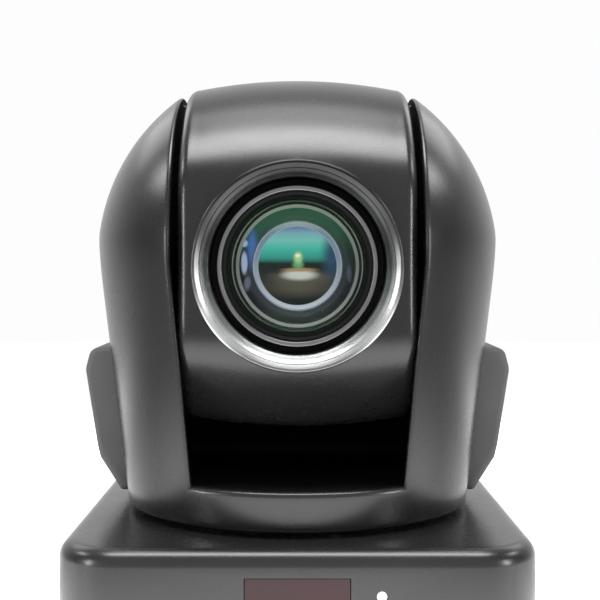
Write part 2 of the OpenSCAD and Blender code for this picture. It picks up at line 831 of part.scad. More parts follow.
module head_walls() {
    difference() {
        head_form(0);
        head_form(head_wall);
        translate([0, -90, -lens_drop]) along_y() cylinder(r = bezel_r + 0.2, h = 80);
        along_x() cylinder(r = trunnion_clear_r, h = 200, center = true);
    }
}

module head_shell() {
    color(black) at_tilt() intersection() {
        head_walls();
        translate([-100, -100, -100]) cube([200, 100 + head_split_y, 200]);
    }
}

module head_rear_shell() {
    color(black) difference() {
        union() {
            at_tilt() intersection() {
                head_walls();
                translate([-100, head_split_y + 0.2, -100]) cube([200, 100, 200]);
            }
            intersection() {
                at_case_posts() translate([0, 0, -30]) cylinder(r = 4.2, h = 30 - gap);
                at_tilt() head_form(1);
            }
        }
        at_tilt() for (i = [-2:2]) translate([-12, 30, i * 5 - 1]) cube([24, 40, 2]);
        at_case_posts() {
            translate([0, 0, -40]) cylinder(r = 2.9, h = 40 - 2.5);
            translate([0, 0, -5]) cylinder(r = 1.35, h = 10);
        }
    }
}

// The ends of the four posts behind the zoom block, looking forwards along each post.
module at_case_posts() {
    at_lens() for (sx = [-1, 1], sz = [-1, 1])
        translate([sx * case_post_x, case_post_end, sz * case_post_z]) rotate([90, 0, 0]) children();
}

module head_screws() {
    color(steel) at_case_posts() translate([0, 0, -2.5]) screw(1.3, 10, 2.6, 1.5);
}

module head_frame() {
    color(steel) at_tilt() difference() {
        union() {
            for (s = [-1, 1]) {
                translate([s > 0 ? head_plate_in : -head_plate_in - head_plate_t, -16, -31.5])
                    cube([head_plate_t, 32, 49.5]);
                for (sy = [-1, 1], sz = [-1, 1])
                    translate([s > 0 ? block_half_w : -head_plate_in, sy * 11, sz * 13]) along_x()
                        cylinder(r = 2.6, h = head_plate_in - block_half_w);
            }
            translate([-head_plate_in - head_plate_t, -16, -31.5])
                cube([2 * (head_plate_in + head_plate_t), 32, 2]);
        }
        along_x() cylinder(r = 4, h = 200, center = true);
    }
}

module trunnion(side, length, bore_r) {
    base = head_plate_in + head_plate_t;
    color(silver) at_tilt() mirror([side < 0 ? 1 : 0, 0, 0]) difference() {
        union() {
            translate([base, 0, 0]) along_x() cylinder(r = 10, h = 1.8);
            translate([base, 0, 0]) along_x() cylinder(r = trunnion_r, h = pulley_in - base - 0.2);
            translate([base, 0, 0]) along_x() cylinder(r = trunnion_r - 1.5, h = length);
        }
        translate([base - 1, 0, 0]) along_x() cylinder(r = bore_r, h = 60);
    }
}
module trunnion_left() { trunnion(-1, 24, 1.5); }
module trunnion_right() { trunnion(1, 19, 3.6); }

// ---------- lens, turned about its own axis: radius, then depth behind the tilt axis ----------

module turned_lens(points) { at_lens() along_y() rotate_extrude() polygon(points); }

module lens_bezel() {
    f = -bezel_reach;
    color(silver) turned_lens([
        [bezel_r, f + 1], [bezel_r - 0.15, f + 0.45], [bezel_r - 0.5, f + 0.1], [bezel_r - 0.9, f],
        [bezel_r - 1.2, f + 0.1], [29.2, f + 1.05], [28, f + 2.1], [27.2, f + 3.05], [26.6, f + 3.9],
        [26.6, f + 14], [29, f + 14], [29, f + 12], [bezel_r, f + 12]]);
}

module dust_seal() {
    color(rubber) turned_lens([[barrel_r + touch, -44.2], [26.4, -44.2], [26.4, -42.2],
        [barrel_r + touch, -42.2]]);
}

module lens_barrel() {
    color(black) turned_lens([
        [barrel_r, block_front - 2], [barrel_r, barrel_front + 3], [23.8, barrel_front + 3],
        [23.8, barrel_front],
        [23.2, barrel_front - 0.3], [22.9, barrel_front], [22.9, barrel_front + 3.6],
        [front_glass_r - 1.4, barrel_front + 3.6], [front_glass_r - 1.4, -47],
        [19.4, -46], [19.4, -44.6], [17.8, -43.8], [17.8, -42.6], [16.4, -41.8], [16.4, -40.4],
        [15.4, -39.8], [14.9, -38], [14.9, block_front], [26.8, block_front], [26.8, block_front - 2]]);
}

// Front element: a meniscus that bulges forward.
module front_glass() {
    edge = barrel_front + 3.5;
    sag = 4.2;
    r = (front_glass_r * front_glass_r + sag * sag) / 2 / sag;
    back_sag = 1.6;
    inner = front_glass_r - 1.2;
    back_r = (inner * inner + back_sag * back_sag) / 2 / back_sag;
    reach = asin(front_glass_r / r);
    back_reach = asin(inner / back_r);
    color(lens_tint) turned_lens(concat(
        [for (i = [0:12]) let (a = reach * i / 12) [r * sin(a), edge + (r * cos(reach)) - r * cos(a) - 0.05]],
        [[front_glass_r, edge - 0.05], [inner, edge - 0.05]],
        [for (i = [12:-1:0]) let (a = back_reach * i / 12)
            [back_r * sin(a), edge + back_r * cos(back_reach) - back_r * cos(a) - 0.05]]));
}

module glass_retainer() {
    color(black) turned_lens([
        [22.8, barrel_front + 0.9], [22.8, barrel_front + 3.4],
        [front_glass_r + 0.1, barrel_front + 3.4], [front_glass_r + 0.1, barrel_front + 2],
        [front_glass_r - 0.3, barrel_front + 1.5], [front_glass_r + 0.3, barrel_front + 0.9]]);
}

module zoom_block() {
    color(dark_grey) at_lens() difference() {
        union() {
            translate([-block_half_w, block_front, -block_half_h])
                cube([2 * block_half_w, block_back - block_front, 2 * block_half_h]);
            for (sx = [-1, 1], sz = [-1, 1])
                translate([sx * case_post_x, block_back - 0.01, sz * case_post_z])
                along_y() cylinder(r = 3, h = case_post_end - block_back);
        }
        for (sx = [-1, 1], sz = [-1, 1]) translate([sx * case_post_x, case_post_end - 9, sz * case_post_z])
            along_y() cylinder(r = 1.35, h = 20);
        translate([-block_half_w + 1.6, block_front + 1.6, -block_half_h + 1.6])
            cube([2 * block_half_w - 3.2, block_back - block_front - 3.2, 2 * block_half_h - 3.2]);
        translate([0, block_front - 1, 0]) along_y() cylinder(r = 14.9, h = 4);
        translate([0, block_back - 3, 0]) along_y() cylinder(r = 7, h = 6);
        for (s = [-1, 1]) translate([s * rod_at, block_front - 1, s * rod_at])
            along_y() cylinder(r = rod_r + 0.05, h = 80);
    }
    // iris wall between the two moving groups
    color(black) at_lens() difference() {
        translate([-block_half_w + 1.59, iris_front, -block_half_h + 1.59])
            cube([2 * block_half_w - 3.18, 3, 2 * block_half_h - 3.18]);
        translate([0, iris_front - 1, 0]) along_y() cylinder(r = 6, h = 6);
        for (s = [-1, 1]) translate([s * rod_at, iris_front - 1, s * rod_at])
            along_y() cylinder(r = rod_r + 0.05, h = 6);
    }
}

module guide_rods() {
    color(silver) at_lens() for (s = [-1, 1])
        translate([s * rod_at, block_front + 0.2, s * rod_at])
            along_y() cylinder(r = rod_r, h = block_back - block_front - 0.4);
}

// A lens cell on two arms that slide on the guide rods.
module carrier(front, cell_r, cell_l, glass_r, arm_front) {
    arm_t = 3;
    at_lens() difference() {
        union() {
            translate([0, front, 0]) along_y() cylinder(r = cell_r, h = cell_l);
            rotate([0, -45, 0]) translate([-24, arm_front, -3]) cube([48, arm_t, 6]);
            for (s = [-1, 1]) translate([s * rod_at, arm_front, s * rod_at])
                along_y() cylinder(r = 3.2, h = arm_t);
        }
        translate([0, front - 1, 0]) along_y() cylinder(r = glass_r, h = cell_l + 40);
        for (s = [-1, 1]) translate([s * rod_at, arm_front - 1, s * rod_at])
            along_y() cylinder(r = rod_r + slip, h = arm_t + 2);
    }
}

// A biconvex glass of radius r, its middle at depth y.
module lens_glass(r, y, sag) {
    curve = (r * r + sag * sag) / 2 / sag;
    reach = asin(r / curve);
    steps = 6;
    color(lens_tint) turned_lens(concat(
        [for (i = [0:steps]) let (a = reach * i / steps)
            [curve * sin(a), y - 1 + curve * (cos(reach) - cos(a))]],
        [for (i = [steps:-1:0]) let (a = reach * i / steps)
            [curve * sin(a), y + 1 - curve * (cos(reach) - cos(a))]]));
}

module zoom_group() {
    color(silver) carrier(-38, 14.5, 13, zoom_glass_r, -28);
    lens_glass(zoom_glass_r + 0.3, -33.5, 2.6);
}

module focus_group() {
    color(dark_grey) at_lens() difference() {
        union() {
            along_y() cylinder(r = focus_glass_r + 2.5, h = 8);
            rotate([0, -45, 0]) translate([-27, 2, -4]) cube([54, 3, 8]);
        }
        translate([0, -1, 0]) along_y() cylinder(r = focus_glass_r, h = 20);
        for (s = [-1, 1]) translate([s * rod_at, 0, s * rod_at]) along_y() cylinder(r = rod_r + slip, h = 10);
    }
    lens_glass(focus_glass_r + 0.4, 6.2, 1.4);
}

module sensor_board() {
    y = block_back + 2;
    color(board_green) at_lens() {
        translate([-19, y, -19]) cube([38, 1.6, 38]);
        translate([-4, y - 3, -3.5]) cube([8, 3.01, 7]);
        translate([-14, y + 1.59, 8]) cube([16, 3, 4]);
        for (sx = [-1, 1], sz = [-1, 1]) translate([sx * 15, block_back, sz * 15])
            along_y() cylinder(r = 2, h = 2);
    }
}

base_shell();
base_plate();
rubber_feet();
tripod_bush();
base_screws();
connector_panel();
dc_socket();
hdmi_socket();
usb_socket();
lan_socket();
control_socket();
audio_socket();
format_dial();
infrared_window();
status_light();
main_board();
pan_spindle();
pan_inner_races();
pan_balls();
spindle_nut();
pan_motor();
pan_pinion();
pan_harness();
turntable_hub();
pan_outer_races();
pan_gear();
yoke_frame();
frame_screws();
yoke_shell();
yoke_rear_cover();
rear_cover_screws();
arm_liner_left();
arm_liner_right();
slot_floor();
side_pod_left();
side_pod_right();
tilt_bearings();
tilt_motor();
tilt_motor_plate();
motor_pulley();
tilt_belt();
yoke_board();
tilt_harness();
head_shell();
head_rear_shell();
head_screws();
head_frame();
trunnion_left();
trunnion_right();
tilt_pulley();
lens_bezel();
dust_seal();
lens_barrel();
front_glass();
glass_retainer();
zoom_block();
guide_rods();
zoom_group();
focus_group();
sensor_board();
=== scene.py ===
"""The looks of a pan, tilt and zoom camera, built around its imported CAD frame. Metres, +Z up, lens towards -Y."""
import json
import math

import bmesh
import bpy
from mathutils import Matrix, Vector


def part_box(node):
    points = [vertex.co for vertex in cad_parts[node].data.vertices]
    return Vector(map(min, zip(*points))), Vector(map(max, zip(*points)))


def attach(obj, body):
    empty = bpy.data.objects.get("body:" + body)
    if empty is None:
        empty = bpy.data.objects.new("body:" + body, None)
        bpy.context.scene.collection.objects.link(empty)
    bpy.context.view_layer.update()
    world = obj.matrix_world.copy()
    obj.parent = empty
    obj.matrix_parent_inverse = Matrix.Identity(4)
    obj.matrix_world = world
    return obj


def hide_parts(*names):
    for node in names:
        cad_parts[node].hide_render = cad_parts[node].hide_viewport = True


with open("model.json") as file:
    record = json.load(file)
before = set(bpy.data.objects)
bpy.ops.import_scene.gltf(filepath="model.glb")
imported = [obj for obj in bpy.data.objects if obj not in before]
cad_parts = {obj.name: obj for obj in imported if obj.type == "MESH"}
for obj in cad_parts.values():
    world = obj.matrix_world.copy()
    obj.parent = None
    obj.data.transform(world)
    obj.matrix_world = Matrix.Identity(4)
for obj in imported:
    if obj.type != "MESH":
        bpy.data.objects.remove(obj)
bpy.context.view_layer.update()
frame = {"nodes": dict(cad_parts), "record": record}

MM = 0.001
SCENE = bpy.context.scene


def middle(node):
    lo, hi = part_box(node)
    return (lo + hi) / 2


# Places read from the frame
TILT_Z = middle("trunnion_left").z
LENS_Z = middle("lens_bezel").z
BEZEL_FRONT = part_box("lens_bezel")[0].y
BEZEL_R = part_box("lens_bezel")[1].x
BASE_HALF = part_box("base_shell")[1].x
BASE_LOW, BASE_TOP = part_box("base_shell")[0].z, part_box("base_shell")[1].z
YOKE_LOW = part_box("yoke_shell")[0].z
SPLIT_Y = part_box("yoke_shell")[1].y
HEAD_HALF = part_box("head_shell")[1].x
HEAD_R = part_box("head_shell")[1].z - TILT_Z
HEAD_SPLIT_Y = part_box("head_shell")[1].y

# Shape of the yoke, heights from the tilt axis
DOME_R = 67.6 * MM
DOME_MID = 0.6 * MM
DOME_START = 8  # degrees above the dome's middle where the curved shoulder ends
CONE_TOP = (65.3 * MM, -13 * MM)
CONE_BEND = (67.6 * MM, 5.3 * MM)
FOOT_EDGE = 2 * MM
FOOT = (57.3 * MM, YOKE_LOW + FOOT_EDGE - TILT_Z)  # the lowest row above the rounded edge
YOKE_WALL = 2.5 * MM
RIM_ROUND = 1.7 * MM
SLOT_HALF = 38.2 * MM
SLOT_MOUTH = 32.2 * MM
SLOT_FLOOR = -68 * MM
REAR_WALL_TOP = -30 * MM
LIP_R = 44 * MM
SEAM = 0.2 * MM

# Screw wells of the rear mouldings
WELL_R = 2.9 * MM
WELL_DEPTH = 30 * MM
WELL_SIDES = 40

# Shape of the head
FACE_Y = 56 * MM
BELLY_Z = 52.5 * MM
HEAD_WALL = 2.2 * MM
HEAD_EDGE = 4 * MM
CROWN = 2.95  # drop in metres for each square metre from the middle
TRUNNION_HOLE_R = 8 * MM

# Shape of the base
BASE_CORNER = 20 * MM
BASE_EDGE = 5 * MM
BASE_WALL = 2.5 * MM


# ---------- mesh helpers ----------

def new_object(name, verts, faces, smooth=True):
    mesh = bpy.data.meshes.new(name)
    mesh.from_pydata([tuple(v) for v in verts], [], faces)
    mesh.validate()
    obj = bpy.data.objects.new(name, mesh)
    SCENE.collection.objects.link(obj)
    if smooth:
        mesh.shade_smooth()
    return obj


def clean(obj, sharp=35):
    """Welds doubled points, turns faces outwards and marks the sharp edges."""
    bm = bmesh.new()
    bm.from_mesh(obj.data)
    bmesh.ops.remove_doubles(bm, verts=bm.verts, dist=1e-6)
    bmesh.ops.dissolve_degenerate(bm, dist=1e-7, edges=bm.edges)
    bmesh.ops.recalc_face_normals(bm, faces=bm.faces)
    bm.to_mesh(obj.data)
    bm.free()
    obj.data.shade_smooth()
    obj.data.set_sharp_from_angle(angle=math.radians(sharp))
    return obj


def bake_modifiers(obj):
    """Swaps the object's mesh for what its modifiers make of it."""
    graph = bpy.context.evaluated_depsgraph_get()
    made = bpy.data.meshes.new_from_object(obj.evaluated_get(graph))
    old = obj.data
    obj.modifiers.clear()
    obj.data = made
    bpy.data.meshes.remove(old)


def cut(obj, tools, operation="DIFFERENCE"):
    """Cuts obj with each tool, then throws the tools away."""
    for tool in tools:
        mod = obj.modifiers.new("cut", "BOOLEAN")
        mod.operation = operation
        mod.solver = "EXACT"
        mod.object = tool
    bake_modifiers(obj)
    for tool in tools:
        bpy.data.objects.remove(tool)
    return clean(obj)


def box_tool(low, high):
    (x0, y0, z0), (x1, y1, z1) = low, high
    verts = [(x, y, z) for x in (x0, x1) for y in (y0, y1) for z in (z0, z1)]
    faces = [(0, 1, 3, 2), (4, 6, 7, 5), (0, 4, 5, 1), (2, 3, 7, 6), (0, 2, 6, 4), (1, 5, 7, 3)]
    return new_object("tool", verts, faces, smooth=False)


def rod_tool(centre, axis, radius, length, sides=64):
    """A cylinder that starts at centre and runs along axis, which is "x", "y" or "z"."""
    turn = {"x": lambda a, b, c: (c, a, b), "y": lambda a, b, c: (b, c, a), "z": lambda a, b, c: (a, b, c)}[axis]
    verts = []
    for end in (0, length):
        for k in range(sides):
            a = 2 * math.pi * k / sides
            p = turn(radius * math.cos(a), radius * math.sin(a), end)
            verts.append(Vector(centre) + Vector(p))
    faces = [(k, (k + 1) % sides, sides + (k + 1) % sides, sides + k) for k in range(sides)]
    faces += [tuple(reversed(range(sides))), tuple(range(sides, 2 * sides))]
    return clean(new_object("tool", verts, faces, smooth=False))


def soften(obj, width, angle, segments):
    """Rounds the sharp edges a little, so that they catch the light."""
    mod = obj.modifiers.new("edges", "BEVEL")
    mod.width = width
    mod.segments = segments
    mod.limit_method = "ANGLE"
    mod.angle_limit = math.radians(angle)
    mod.use_clamp_overlap = True
    mod.harden_normals = True


SHARE_OF_SIDE = 0.49  # the most of a side that one rounded corner may take up


def fillet(points, radius_at, steps):
    """Rounds the corners of a closed 2D outline. radius_at gives a radius for each corner, 0 to leave it."""
    out = []
    count = len(points)
    for i, p in enumerate(points):
        r = radius_at[i]
        if r == 0:
            out.append(tuple(p))
            continue
        here = Vector(p)
        before = Vector(points[i - 1]) - here
        after = Vector(points[(i + 1) % count]) - here
        angle = before.angle(after)
        reach = min(r / math.tan(angle / 2), before.length * SHARE_OF_SIDE, after.length * SHARE_OF_SIDE)
        r = reach * math.tan(angle / 2)
        start = here + before.normalized() * reach
        end = here + after.normalized() * reach
        centre = here + (before.normalized() + after.normalized()).normalized() * (r / math.sin(angle / 2))
        a0 = math.atan2(start.y - centre.y, start.x - centre.x)
        sweep = math.atan2(end.y - centre.y, end.x - centre.x) - a0
        sweep = (sweep + math.pi) % (2 * math.pi) - math.pi
        for k in range(steps + 1):
            a = a0 + sweep * k / steps
            out.append((centre.x + r * math.cos(a), centre.y + r * math.sin(a)))
    return out


def turned_faces(count, sides):
    """Faces between neighbouring copies of a closed outline of count points, set round an axis."""
    faces = []
    for k in range(sides):
        for i in range(count):
            j = (i + 1) % count
            here, there = k * count, (k + 1) % sides * count
            faces.append((here + i, here + j, there + j, there + i))
    return faces


def lathe(name, outline, sides):
    """Turns a closed outline of (radius, y) points about the lens axis."""
    verts = []
    for k in range(sides):
        a = 2 * math.pi * k / sides
        verts += [(r * math.sin(a), y, LENS_Z + r * math.cos(a)) for r, y in outline]
    return clean(new_object(name, verts, turned_faces(len(outline), sides)))


def loft(name, rings):
    """Joins loops of points into a closed solid."""
    around = len(rings[0])
    faces = []
    for j in range(len(rings) - 1):
        for k in range(around):
            n = (k + 1) % around
            faces.append((j * around + k, j * around + n, (j + 1) * around + n, (j + 1) * around + k))
    faces.append(tuple(reversed(range(around))))
    faces.append(tuple((len(rings) - 1) * around + k for k in range(around)))
    return clean(new_object(name, [p for ring in rings for p in ring], faces))


# ---------- node materials ----------

def material(name):
    mat = bpy.data.materials.new(name)
    mat.use_nodes = True
    nodes = mat.node_tree.nodes
    return mat, nodes, mat.node_tree.links, nodes["Principled BSDF"]


def object_coords(nodes):
    return nodes.new("ShaderNodeTexCoord").outputs["Object"]


def noise(nodes, links, coords, scale, detail=3, roughness=0.5):
    tex = nodes.new("ShaderNodeTexNoise")
    tex.inputs["Scale"].default_value = scale
    tex.inputs["Detail"].default_value = detail
    tex.inputs["Roughness"].default_value = roughness
    links.new(coords, tex.inputs["Vector"])
    return tex.outputs["Fac"]


def ramp(nodes, links, factor, low, high, start=0.3, end=0.7):
    node = nodes.new("ShaderNodeValToRGB")
    node.color_ramp.elements[0].position = start
    node.color_ramp.elements[1].position = end
    node.color_ramp.elements[0].color = (*low, 1)
    node.color_ramp.elements[1].color = (*high, 1)
    links.new(factor, node.inputs["Fac"])
    return node.outputs["Color"]


def stepped(nodes, links, factor, stops):
    """A ramp through any number of (place, colour) stops."""
    node = nodes.new("ShaderNodeValToRGB")
    elements = node.color_ramp.elements
    while len(elements) < len(stops):
        elements.new(0.5)
    for element, (place, colour) in zip(elements, stops):
        element.position = place
        element.color = (*colour, 1)
    links.new(factor, node.inputs["Fac"])
    return node.outputs["Color"]


def share_of(nodes, links, value, low, high, smooth=False):
    """How far a value has come from low to high, as 0 to 1."""
    node = nodes.new("ShaderNodeMapRange")
    if smooth:
        node.interpolation_type = "SMOOTHSTEP"
    node.inputs["From Min"].default_value = low
    node.inputs["From Max"].default_value = high
    links.new(value, node.inputs["Value"])
    return node.outputs["Result"]


def split_xyz(nodes, links, vector):
    node = nodes.new("ShaderNodeSeparateXYZ")
    links.new(vector, node.inputs["Vector"])
    return node.outputs


def length_of(nodes, links, vector):
    node = nodes.new("ShaderNodeVectorMath")
    node.operation = "LENGTH"
    links.new(vector, node.inputs[0])
    return node.outputs["Value"]


def calculated(nodes, links, operation, value, number):
    node = nodes.new("ShaderNodeMath")
    node.operation = operation
    node.inputs[1].default_value = number
    links.new(value, node.inputs[0])
    return node.outputs["Value"]


def grey(v):
    return (v, v, v)


def bump(nodes, links, height, shader, distance, strength):
    node = nodes.new("ShaderNodeBump")
    node.inputs["Strength"].default_value = strength
    node.inputs["Distance"].default_value = distance
    links.new(height, node.inputs["Height"])
    links.new(node.outputs["Normal"], shader.inputs["Normal"])


def moulded(name, colour, low_rough, high_rough, grain=0.008 * MM, specular=0.5, scale=2600):
    """Moulded plastic: fine spark-eroded grain, faint handling marks in its gloss and a little colour drift."""
    mat, nodes, links, shader = material(name)
    coords = object_coords(nodes)
    drift = noise(nodes, links, coords, 28, 4)
    dark = tuple(c * 0.85 for c in colour)
    light = tuple(c * 1.15 for c in colour)
    links.new(ramp(nodes, links, drift, dark, light), shader.inputs["Base Color"])
    marks = noise(nodes, links, coords, 70, 6, 0.6)
    links.new(ramp(nodes, links, marks, grey(low_rough), grey(high_rough)), shader.inputs["Roughness"])
    bump(nodes, links, noise(nodes, links, coords, scale, 2), shader, grain, 0.35)
    shader.inputs["Specular IOR Level"].default_value = specular
    return mat


def metal(name, colour, rough, grain_scale=900, stretch=(1, 1, 1)):
    """Bare or plated metal, with a fine grain that can be drawn out along an axis."""
    mat, nodes, links, shader = material(name)
    mapping = nodes.new("ShaderNodeMapping")
    mapping.inputs["Scale"].default_value = stretch
    links.new(object_coords(nodes), mapping.inputs["Vector"])
    grain = noise(nodes, links, mapping.outputs["Vector"], grain_scale, 4)
    links.new(ramp(nodes, links, grain, grey(rough * 0.8), grey(rough * 1.25)), shader.inputs["Roughness"])
    drift = noise(nodes, links, object_coords(nodes), 60, 3)
    dark = tuple(c * 0.88 for c in colour)
    links.new(ramp(nodes, links, drift, dark, colour), shader.inputs["Base Color"])
    bump(nodes, links, grain, shader, 0.006 * MM, 0.3)
    shader.inputs["Metallic"].default_value = 1
    return mat


def turned_rings(name, colour, rough, pitch, depth=0.01 * MM, painted_light=()):
    """A turned metal face: fine rings about the lens axis. The last argument holds (share of the height, colour)
    stops of painted highlight and painted shade, multiplied into the colour.
    """
    mat, nodes, links, shader = material(name)
    place = split_xyz(nodes, links, object_coords(nodes))
    rise = calculated(nodes, links, "SUBTRACT", place["Z"], LENS_Z)
    joined = nodes.new("ShaderNodeCombineXYZ")
    links.new(place["X"], joined.inputs["X"])
    links.new(rise, joined.inputs["Y"])
    radius = length_of(nodes, links, joined.outputs["Vector"])
    rings = calculated(nodes, links, "PINGPONG", radius, pitch / 2)
    rings = calculated(nodes, links, "MULTIPLY", rings, 2 / pitch)
    links.new(ramp(nodes, links, rings, grey(rough * 0.85), grey(rough * 1.15), 0, 1), shader.inputs["Roughness"])
    dark = tuple(c * 0.9 for c in colour)
    drift = ramp(nodes, links, noise(nodes, links, object_coords(nodes), 90, 3), dark, colour)
    if painted_light:
        # Painted highlight and shade: the stops brighten the lower part of the ring and darken its upper part.
        tinted = nodes.new("ShaderNodeMix")
        tinted.data_type = "RGBA"
        tinted.blend_type = "MULTIPLY"
        tinted.inputs["Factor"].default_value = 1
        links.new(drift, tinted.inputs["A"])
        height = share_of(nodes, links, rise, -BEZEL_R, BEZEL_R)
        links.new(stepped(nodes, links, height, painted_light), tinted.inputs["B"])
        drift = tinted.outputs["Result"]
    links.new(drift, shader.inputs["Base Color"])
    bump(nodes, links, rings, shader, depth, 0.25)
    shader.inputs["Metallic"].default_value = 1
    return mat


def board_material():
    """Solder mask with lighter tracks showing through it."""
    mat, nodes, links, shader = material("solder_mask")
    tracks = nodes.new("ShaderNodeTexBrick")
    tracks.inputs["Scale"].default_value = 160
    tracks.inputs["Mortar Size"].default_value = 0.06
    tracks.inputs["Color1"].default_value = (0.012, 0.10, 0.045, 1)
    tracks.inputs["Color2"].default_value = (0.010, 0.085, 0.038, 1)
    tracks.inputs["Mortar"].default_value = (0.03, 0.17, 0.08, 1)
    links.new(object_coords(nodes), tracks.inputs["Vector"])
    links.new(tracks.outputs["Color"], shader.inputs["Base Color"])
    links.new(ramp(nodes, links, tracks.outputs["Fac"], grey(0.25), grey(0.4), 0, 1), shader.inputs["Roughness"])
    bump(nodes, links, tracks.outputs["Fac"], shader, 0.02 * MM, 0.4)
    return mat


def coated_glass(name, tint, lens_reflection, mirror):
    """A coated window: clear, with a tinted reflection that grows where it is seen at a slant."""
    mat, nodes, links, shader = material(name)
    nodes.remove(shader)
    clear = nodes.new("ShaderNodeBsdfTransparent")
    clear.inputs["Color"].default_value = (*tint, 1)
    gloss = nodes.new("ShaderNodeBsdfGlossy")
    gloss.inputs["Color"].default_value = (*lens_reflection, 1)
    gloss.inputs["Roughness"].default_value = 0
    facing = nodes.new("ShaderNodeLayerWeight")
    facing.inputs["Blend"].default_value = 0.12
    share = nodes.new("ShaderNodeMapRange")
    share.inputs["To Min"].default_value = mirror
    share.inputs["To Max"].default_value = 0.75
    links.new(facing.outputs["Fresnel"], share.inputs["Value"])
    mixed = nodes.new("ShaderNodeMixShader")
    links.new(share.outputs["Result"], mixed.inputs["Fac"])
    links.new(clear.outputs["BSDF"], mixed.inputs[1])
    links.new(gloss.outputs["BSDF"], mixed.inputs[2])
    links.new(mixed.outputs["Shader"], nodes["Material Output"].inputs["Surface"])
    return mat


def blob(nodes, links, coords, centre, half, soft):
    """A soft-edged ellipse seen from the front: 1 inside it, 0 outside. centre and half are (x, z) in mm."""
    place = nodes.new("ShaderNodeMapping")
    scale = (1 / (half[0] * MM), 0, 1 / (half[1] * MM))
    place.inputs["Scale"].default_value = scale
    place.inputs["Location"].default_value = (-centre[0] * MM * scale[0], 0, -(LENS_Z + centre[1] * MM) * scale[2])
    links.new(coords, place.inputs["Vector"])
    return share_of(nodes, links, length_of(nodes, links, place.outputs["Vector"]), 1 + soft, 1 - soft, True)


def over(nodes, links, below, mask, colour):
    """A colour laid over what is below it, where the mask is 1."""
    mix = nodes.new("ShaderNodeMix")
    mix.data_type = "RGBA"
    links.new(mask, mix.inputs["Factor"])
    links.new(below, mix.inputs["A"])
    mix.inputs["B"].default_value = (*colour, 1)
    return mix.outputs["Result"]


def painted_room_reflection(name, stops, reach, blobs, glow, rough=0.2):
    """A part deep in the lens with a painted reflection of the room, laid in as a glow: stops colour it from its
    bottom to its top, blobs lie over them.

    stops are (share of the height, colour), reach is half the height in mm, blobs are (centre, half, soft, colour).
    """
    mat, nodes, links, shader = material(name)
    coords = object_coords(nodes)
    height = split_xyz(nodes, links, coords)["Z"]
    rise = share_of(nodes, links, height, LENS_Z - reach * MM, LENS_Z + reach * MM)
    result = stepped(nodes, links, rise, stops)
    for centre, half, soft, colour in blobs:
        result = over(nodes, links, result, blob(nodes, links, coords, centre, half, soft), colour)
    # The painted reflection goes into the emission, so the part glows though it is no lamp.
    links.new(result, shader.inputs["Emission Color"])
    shader.inputs["Base Color"].default_value = (0.01, 0.01, 0.01, 1)
    shader.inputs["Emission Strength"].default_value = glow
    haze = noise(nodes, links, coords, 300, 3)
    links.new(ramp(nodes, links, haze, grey(rough), grey(rough * 1.4)), shader.inputs["Roughness"])
    shader.inputs["Specular IOR Level"].default_value = 0.12
    return mat


SHELL = moulded("satin_black_plastic", (0.012, 0.012, 0.0125), 0.25, 0.29)
POD = moulded("matt_grey_plastic", (0.085, 0.085, 0.087), 0.55, 0.68, 0.03 * MM, 0.35, 2000)
# Darker than the shell: partly the inner plastic's own matt black, partly painted shade in the slot, the hollows and
# behind the louvres.
INNER = moulded("matt_black_and_painted_shade", (0.0022, 0.0022, 0.0024), 0.6, 0.75, 0.03 * MM, 0.1, 2000)
PANEL = moulded("panel_plastic", (0.02, 0.02, 0.021), 0.4, 0.5, 0.03 * MM)
WINDOW = moulded("infrared_window", (0.02, 0.001, 0.003), 0.05, 0.09, 0.0, 0.3)
ACETAL = moulded("moulded_acetal", (0.62, 0.61, 0.56), 0.35, 0.45)
RUBBER = moulded("black_rubber", (0.013, 0.013, 0.013), 0.7, 0.85, 0.06 * MM, 0.3, 1200)
BAFFLE = moulded("baffle_black", (0.006, 0.0068, 0.0062), 0.55, 0.7, 0.01 * MM, 0.12, 2000)
# Painted light on the silver ring, from its bottom to its top: a painted highlight across its lower part and painted
# shade over its upper half
BEZEL_PAINTED_LIGHT = [(place, grey(shade)) for place, shade in (
    (0.0, 0.26), (0.08, 0.36), (0.17, 0.92), (0.29, 0.88), (0.39, 0.33), (0.50, 0.14), (0.62, 0.11), (0.76, 0.08),
    (0.95, 0.04))]
BEZEL = turned_rings("satin_chrome", (0.92, 0.922, 0.93), 0.31, 0.4 * MM, 0.001 * MM, BEZEL_PAINTED_LIGHT)
LIP = turned_rings("satin_lip", (0.24, 0.24, 0.245), 0.36, 0.5 * MM, 0.002 * MM)
CELL = turned_rings("anodised_cell", (0.55, 0.58, 0.63), 0.28, 0.4 * MM)
PLATE = metal("zinc_plate", (0.60, 0.61, 0.63), 0.32, 500, (1, 14, 14))
TURNED = metal("turned_steel", (0.60, 0.60, 0.62), 0.24, 900, (6, 6, 1))
SCREW = metal("blackened_screw", (0.10, 0.10, 0.105), 0.38)
BRASS = metal("turned_brass", (0.72, 0.55, 0.25), 0.26, 900, (6, 6, 1))
NICKEL = metal("nickel_plate", (0.70, 0.70, 0.71), 0.22, 700, (1, 8, 1))
BOARD = board_material()
LIGHT = moulded("status_diffuser", (0.55, 0.62, 0.70), 0.3, 0.4)

MATERIALS = {
    "shell_black": SHELL, "pod_grey": POD, "inner_black": INNER, "bezel_silver": BEZEL, "plate_steel": PLATE,
    "turned_steel": TURNED, "screw_steel": SCREW, "brass": BRASS, "rubber": RUBBER, "board": BOARD,
    "gear_white": ACETAL, "lens_cell": CELL, "window_red": WINDOW, "light_white": LIGHT,
    "socket_shell": NICKEL,
}


def paint(obj, mat):
    """Gives the object this material and no other."""
    obj.data.materials.clear()
    obj.data.materials.append(mat)


def finish_piece(obj, body, slot, mat, *nodes):
    """Paints a piece, lets it ride and hides the CAD nodes it stands for."""
    paint(obj, mat)
    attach(obj, body)
    if nodes:
        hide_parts(*nodes)


# ---------- yoke ----------

